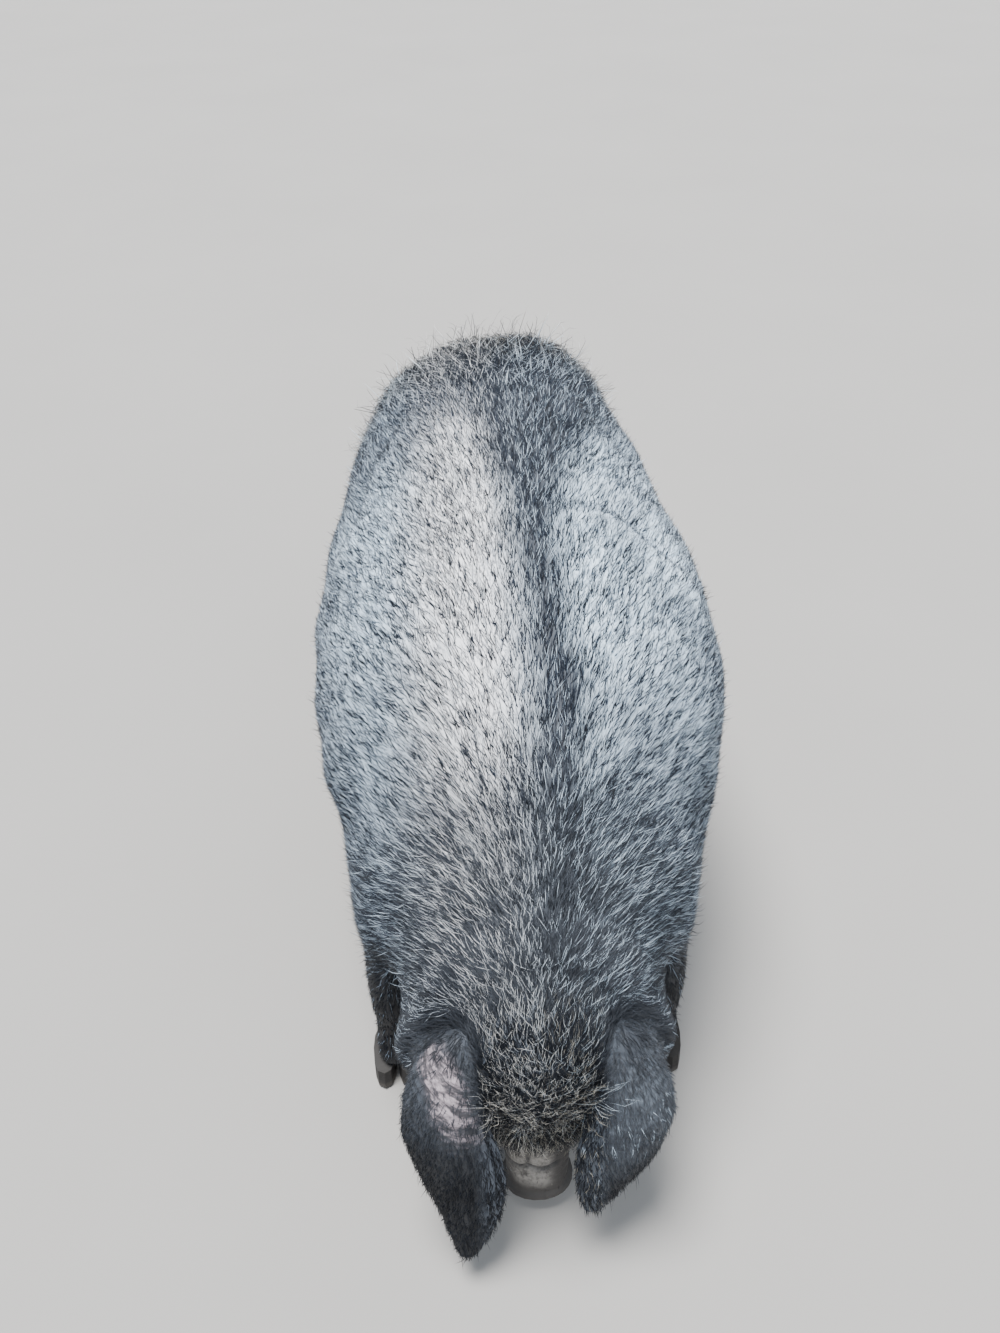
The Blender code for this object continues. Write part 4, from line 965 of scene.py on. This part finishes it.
def unit(vectors):
    return vectors / np.maximum(np.linalg.norm(vectors, axis=1), 1e-9)[:, None]


def blend(first, second, share):
    """Rows from the first to the second by a share. The second may be one row for all."""
    return first + (np.broadcast_to(second, first.shape) - first) * share[:, None]


def lie_of_coat(points, normals, ears, shift):
    """Which way the hair lies at points. The shift moves the fringe's border, tuft by tuft."""
    x, y, z = points.T
    side = np.where(x > 0, 1.0, -1.0)
    down = np.stack((side * normals[:, 2], 0 * x, -side * normals[:, 0]), axis=1)
    spread = SPREAD * np.minimum(1.0, np.abs(x) / SPREAD_SIDE)
    way = np.array(BACKWARDS) + down * spread[:, None]
    way = blend(way, DOWN_RUMP, ease(y, *RUMP_END))
    way = blend(way, BACKWARDS, ease(-normals[:, 2], *UNDERSIDE))
    way = blend(way, DOWN_LEG, on_legs(points))
    along = along_head(points)
    hang = ease(along + shift, *HANG_FROM) * (1 - ease(along, *HANG_TO))
    outwards = x * (FAN[0] + FAN[1] * ease(np.abs(x), *FAN_SIDE) * ease(along, *FAN_ALONG))
    face_way = (2 * hang - 1)[:, None] * HEAD_AXIS + np.stack((outwards, 0 * x, 0 * x), axis=1)
    face_way = blend(face_way, DOWN_CHEEK, ease(np.abs(x), *CHEEK_SIDE))
    way = blend(way, face_way, ease(along, *HEAD_FROM) * on_head(points))
    ear_way = np.stack((side * 0.10, -0.15 + 0 * x, -1.0 + 0 * x), axis=1)
    way = blend(way, ear_way, ears)
    way = blend(way, DOWN_TAIL, (y > TAIL_Y).astype(float))
    return unit(way - normals * np.sum(way * normals, axis=1)[:, None])


print("the fringe hangs from", round(HANG_FROM[1] * 1000), "mm below the crown")

# %% [markdown]
# The coat is short and even on the trunk, finer and denser on the neck, long and curly on rump
# and forehead, and shortest round the eyes, so that it doesn't bury them. A table gives length,
# width, rise, curl and density for each region, and the regions pass into each other by weights.
# The fringe is longest at its two sides.

# %% Growth of the coat
GROWTH = {
    # region: length, width, rise of the tip over the skin, curl, density
    "trunk": (0.021, 0.00090, 0.0045, 0.32, 92000),
    "rump": (0.036, 0.00090, 0.0170, 1.45, 95000),
    "fore": (0.023, 0.00072, 0.0065, 0.38, 215000),
    "poll": (0.022, 0.00056, 0.0090, 0.55, 270000),
    "forehead": (0.030, 0.00060, 0.0175, 0.90, 360000),
    "temple": (0.011, 0.00055, 0.0020, 0.25, 170000),
    "face": (0.007, 0.00050, 0.0010, 0.15, 100000),
    "ears": (0.014, 0.00072, 0.0035, 0.40, 120000),
    "legs": (0.016, 0.00100, 0.0032, 0.20, 75000),
    "belly": (0.028, 0.00140, 0.0075, 0.30, 50000),
    "tail": (0.024, 0.00110, 0.0040, 0.30, 60000),
}
FORE_FROM, BELLY_FROM = (-0.44, -0.28), (0.2, 0.8)
FRINGE_END, FRINGE_OUT, FRINGE_SIDE = (0.155, 0.185), (-0.015, 0.010), (0.085, 0.110)
FACE_BACK, TEMPLE_BACK = (-0.51, -0.46), (-0.50, -0.46)
POLL_FROM, FOREHEAD_FROM = (-0.03, 0.02), (0.04, 0.08)
EDGE_SIDE, EDGE_ALONG, FRINGE_EDGE = (0.030, 0.055), (0.03, 0.07), 0.60
TEMPLE_SIDE, TEMPLE_FROM, TEMPLE_TO = (0.052, 0.066), (0.050, 0.070), (0.106, 0.122)
NEAR_EYE = (0.006, 0.016)


def growth(points, normals, ears):
    """Length, width, rise, curl and density of the coat at points, as five columns."""
    x, y, z = points.T
    aside = np.abs(x)
    along = along_head(points)
    made = np.tile(GROWTH["trunk"], (len(x), 1))
    made = blend(made, GROWTH["rump"], on_rump(points))
    made = blend(made, GROWTH["fore"], 1 - ease(y, *FORE_FROM))
    made = blend(made, GROWTH["belly"], ease(-normals[:, 2], *BELLY_FROM))
    made = blend(made, GROWTH["legs"], on_legs(points))
    fringe = on_head(points) * (1 - ease(along, *FRINGE_END)) * ease(out_of_face(points), *FRINGE_OUT)
    face = on_face(points) * (1 - fringe) * (1 - ease(y, *FACE_BACK))
    fringe = fringe * (1 - ease(aside, *FRINGE_SIDE))
    made = blend(made, GROWTH["poll"], fringe * ease(along, *POLL_FROM))
    made = blend(made, GROWTH["forehead"], fringe * ease(along, *FOREHEAD_FROM))
    edge = fringe * ease(aside, *EDGE_SIDE) * ease(along, *EDGE_ALONG)
    made[:, [0, 2]] *= (1 + FRINGE_EDGE * edge)[:, None]
    temple = on_head(points) * ease(aside, *TEMPLE_SIDE) * ease(along, *TEMPLE_FROM)
    temple = temple * (1 - ease(along, *TEMPLE_TO))
    made = blend(made, GROWTH["temple"], temple * (1 - ease(y, *TEMPLE_BACK)))
    near_eye = 1 - ease(distance_to(points, "eye_left", "eye_right"), *NEAR_EYE)
    made = blend(made, GROWTH["face"], np.maximum(face, near_eye))
    made = blend(made, GROWTH["ears"], ears)
    return blend(made, GROWTH["tail"], (y > TAIL_Y).astype(float))


print("kinds of growth", ", ".join(GROWTH))

# %% [markdown]
# Roots are drawn at random on the skin's triangles, more of them where the growth is denser and
# the triangle larger, few on the bare skin, and none close to the eyes or below the coronet,
# where the claw starts. The densities are roughly tufts for each square metre, scaled to the
# total. What a root knows of its place is averaged from its triangle's corners.

# %% Roots
TUFTS = 190000
SEED = 20
EYE_CLEAR = 0.006
CORONET = 0.030
# Height above which tufts near the ears get the painted shade round their roots.
BY_EARS_LOW = (0.235, 0.275)
BARE_SNOUT, BARE_EAR = 0.97, 0.93

rng = np.random.default_rng(SEED)
mesh = body.data
mesh.calc_loop_triangles()
count = len(mesh.loop_triangles)


def of_triangles(key, kind, columns):
    values = np.empty(count * columns, kind)
    mesh.loop_triangles.foreach_get(key, values)
    return values.reshape(-1, columns)


corners = of_triangles("vertices", int, 3)
loops = of_triangles("loops", int, 3)
areas = of_triangles("area", float, 1)[:, 0]
skin_points, skin_normals = points_of(mesh), normals_of(mesh)
skin_uv = np.empty(len(mesh.loops) * 2)
mesh.uv_layers["OFBake"].data.foreach_get("uv", skin_uv)
skin_uv = skin_uv.reshape(-1, 2)
density = growth(skin_points, skin_normals, skin_ears)[:, 4]
density *= distance_to(skin_points, "eye_left", "eye_right") > EYE_CLEAR
density *= skin_points[:, 2] > CORONET
density *= (1 - BARE_SNOUT * bare["snout"]) * (1 - BARE_EAR * bare["ear_bare"])
weight = areas * density[corners].mean(axis=1)
print("skin area", round(areas.sum(), 3), "tufts that the densities ask for", round(weight.sum()))
chosen = np.searchsorted(np.cumsum(weight) / weight.sum(), rng.random(TUFTS))
first, second = rng.random(TUFTS), rng.random(TUFTS)
over = first + second > 1
first[over], second[over] = 1 - first[over], 1 - second[over]
share = np.stack((1 - first - second, first, second), axis=1)


def at_roots(values, picks):
    """Values of vertices or loops, averaged to the roots."""
    return np.einsum("ij,ij...->i...", share, values[picks[chosen]])


roots = at_roots(skin_points, corners)
normals = unit(at_roots(skin_normals, corners))
root_uv = at_roots(skin_uv, loops)
root_ears = at_roots(skin_ears, corners)
# How much of the painted shade round the ears' roots falls on each root.
root_ear_shade = at_roots(by_ears, corners) * ease(roots[:, 2], *BY_EARS_LOW)
print("roots drawn", len(roots))

# %% [markdown]
# One tuft is a thin tapered spine with a three-sided section: it leaves the skin at a slant,
# bends over, waves to the side and follows the body's curve to a point. On trunk, legs and tail
# one in twenty is a stray that stands out further. Neighbours often share a clump's tone, most of
# all on head and rump, which makes locks. Pale tufts are thinner than dark ones, though less so
# on the rump. All tufts are worked out together as arrays.

# %% Shapes of the tufts
FRINGE_SHIFT = 0.014
LENGTHS, WIDTHS, RISES, WAVINESS = (0.65, 1.25), (0.75, 1.25), (0.30, 1.15), (0.4, 1.2)
SWING, WAVE = 0.75, 0.10
THICKEST, THINNER, NECK_THINNER = 1.25, 0.45, 0.20
RUMP_STRANDS, RUMP_STRAND_TONE = 0.30, 0.80
NECK_FROM = (-0.40, -0.24)
STRAYS, STRAY_RISE = 0.05, 2.8
BEND_AT, BENDS = 0.7, (-6.0, 30.0)
RISE_CURVE = 0.10
SECTION_HEIGHT = 0.45
TAPER = 0.62
WAVES = 0.9
CLUMPS = 70000
CLUMPED, TRUNK_CLUMPED = 0.45, 0.15
# The ears' own tufts are darker; tufts close to the ears' roots are darkened as painted shade.
EARS_DARKER, LEFT_EAR_DARKER, EAR_SHADE_DARKER = 0.45, 0.14, 0.55

length, width, rise, curl, _ = growth(roots, normals, root_ears).T
length = length * rng.uniform(*LENGTHS, TUFTS)
width = width * rng.uniform(*WIDTHS, TUFTS)
stray = rng.random(TUFTS) < STRAYS * (1 - np.maximum(root_ears, on_head(roots)))
rise = rise * rng.uniform(*RISES, TUFTS) * np.where(stray, STRAY_RISE, 1.0)
way = lie_of_coat(roots, normals, root_ears, rng.normal(0.0, FRINGE_SHIFT, TUFTS))
swing = curl * rng.normal(0.0, SWING, TUFTS)
across = np.cross(normals, way)
way = unit(way * np.cos(swing)[:, None] + across * np.sin(swing)[:, None])
across = np.cross(normals, way)
reach = length * BEND_AT
tree = KDTree(len(skin_points))
for i, point in enumerate(skin_points):
    tree.insert(point, i)
tree.balance()
ahead_index = [tree.find(point)[1] for point in roots + way * reach[:, None]]
bend = np.clip(np.sum(skin_normals[ahead_index] * way, axis=1) / reach, *BENDS)
phase = rng.uniform(0, math.tau, TUFTS)
wave = curl * length * WAVE * rng.uniform(*WAVINESS, TUFTS)
clump_tree = KDTree(CLUMPS)
for i, place in enumerate(roots[:CLUMPS]):
    clump_tree.insert(place, i)
clump_tree.balance()
clump = np.array([clump_tree.find(place)[1] for place in roots])
own_tone, clump_tone = rng.random(TUFTS), rng.random(CLUMPS)[clump]
rump = on_rump(roots)
neck = 1 - ease(roots[:, 1], *NECK_FROM)
clumped = TRUNK_CLUMPED + (CLUMPED - TRUNK_CLUMPED) * np.maximum(on_head(roots), rump)
tones = np.where(rng.random(TUFTS) < clumped, clump_tone, own_tone)
tones *= 1 - np.where(roots[:, 0] < 0, EARS_DARKER, LEFT_EAR_DARKER) * root_ears
# Painted shade: tufts close to the ears' roots are darker.
tones *= 1 - EAR_SHADE_DARKER * root_ear_shade
strands = RUMP_STRANDS * rump * (tones > RUMP_STRAND_TONE)
width = width * (THICKEST - (THINNER + NECK_THINNER * neck) * tones + strands)
print("longest tuft", round(length.max(), 4), "strays", int(stray.sum()))


def tuft_points(picked, stations):
    """The points of the picked tufts: rings of three at the stations and a tip."""
    lines = []
    for station in stations:
        run = length[picked] * station
        bow = (1 + RISE_CURVE) * math.sin(math.pi / 2 * station) - RISE_CURVE
        height = rise[picked] * bow
        height = height - bend[picked] * run * run / 2
        turn = phase[picked] + station * math.tau * WAVES
        sway = wave[picked] * (np.sin(turn) - np.sin(phase[picked]))
        place = roots[picked] + way[picked] * run[:, None] + normals[picked] * height[:, None]
        lines.append(place + across[picked] * sway[:, None])
    rings = []
    for line, station in zip(lines[:-1], stations):
        broad = width[picked] * (1 - TAPER * station)
        half = across[picked] * (broad / 2)[:, None]
        ridge = normals[picked] * (broad * SECTION_HEIGHT)[:, None]
        rings += [line - half, line + ridge, line + half]
    return np.stack(rings + [lines[-1]], axis=1)


# %% [markdown]
# The tufts are written as one mesh for each region, so that no piece grows too heavy. The short
# coat of trunk and legs is a plain spike of four triangles. Ears, tail and neck have one band
# more, and curly rump and head two. Each tuft's corners lie on a small patch of the unwrap round
# its root, so that the colours can be baked, and no operator makes 190,000 shapes fast enough.

# %% Coat pieces
SHORT = (0.0, 1.0)
STRAIGHT = (0.0, 0.45, 1.0)
CURLY = (0.0, 0.30, 0.66, 1.0)
PATCH = 0.003


def tuft_faces(bands):
    """The corners of one tuft's faces: bands of three, the tip and the root."""
    quads = [(band * 3 + i, band * 3 + (i + 1) % 3, band * 3 + 3 + (i + 1) % 3, band * 3 + 3 + i)
             for band in range(bands) for i in range(3)]
    tip = 3 * bands + 3
    return quads + [(tip - 3 + i, tip - 3 + (i + 1) % 3, tip) for i in range(3)] + [(2, 1, 0)]


def coat_piece(name, picked, stations):
    """One mesh of the picked tufts, with their tone, their length and their bake patches."""
    number = len(picked)
    points = tuft_points(picked, stations)
    each = points.shape[1]
    faces = tuft_faces(len(stations) - 2)
    made = bpy.data.meshes.new(name)
    made.vertices.add(number * each)
    made.vertices.foreach_set("co", points.ravel())
    pattern = np.array([corner for face in faces for corner in face])
    indices = (pattern[None, :] + each * np.arange(number)[:, None]).ravel()
    made.loops.add(len(indices))
    made.loops.foreach_set("vertex_index", indices)
    sizes = np.tile([len(face) for face in faces], number)
    made.polygons.add(len(sizes))
    made.polygons.foreach_set("loop_start", np.concatenate(((0,), np.cumsum(sizes)[:-1])))
    made.update(calc_edges=True)
    along = np.append(np.repeat(stations[:-1], 3), 1.0)
    aside = np.append(np.tile((0.0, 0.5, 1.0), len(stations) - 1), 0.5)
    patch = (np.stack((aside, along), axis=1) - 0.5) * PATCH
    uv = root_uv[picked][:, None, :] + patch[None, :, :]
    layer = made.uv_layers.new(name="OFBake")
    layer.data.foreach_set("uv", uv.reshape(-1, 2)[indices].ravel())
    for key, values in (("tone", np.repeat(tones[picked], each)), ("along", np.tile(along, number))):
        attribute = made.attributes.new(key, "FLOAT", "POINT")
        attribute.data.foreach_set("value", values.astype(np.float32))
    made.shade_smooth()
    made.materials.append(coat_finish)
    piece = bpy.data.objects.new(name, made)
    bpy.context.collection.objects.link(piece)
    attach(piece, "root")
    triangles = number * sum(len(face) - 2 for face in faces)
    print(name, number, "tufts", triangles, "triangles")
    return triangles


x, y, z = roots.T
zones = {
    # name: where it is, and the stations of its tufts
    "coat_ears": (root_ears > 0.5, STRAIGHT),
    "coat_tail": (y > TAIL_Y, STRAIGHT),
    "coat_legs": (on_legs(roots) > 0.5, SHORT),
}
along_the_back = {
    # region: how far back it reaches, and the stations of its tufts
    "head": (-0.455, CURLY),
    "neck": (-0.36, STRAIGHT),
    "shoulders": (-0.20, SHORT),
    "chest": (0.0, SHORT),
    "flank": (0.22, SHORT),
    "loin": (0.42, SHORT),
    "rump": (TAIL_Y, CURLY),
}
for region, (end, stations) in along_the_back.items():
    zones[f"coat_{region}_right"] = ((y < end) & (x < 0.0), stations)
    zones[f"coat_{region}_left"] = (y < end, stations)
waiting = np.ones(TUFTS, bool)
total = 0
for name, (zone, stations) in zones.items():
    total += coat_piece(name, np.nonzero(zone & waiting)[0], stations)
    waiting &= ~zone
print("triangles of the coat", total)
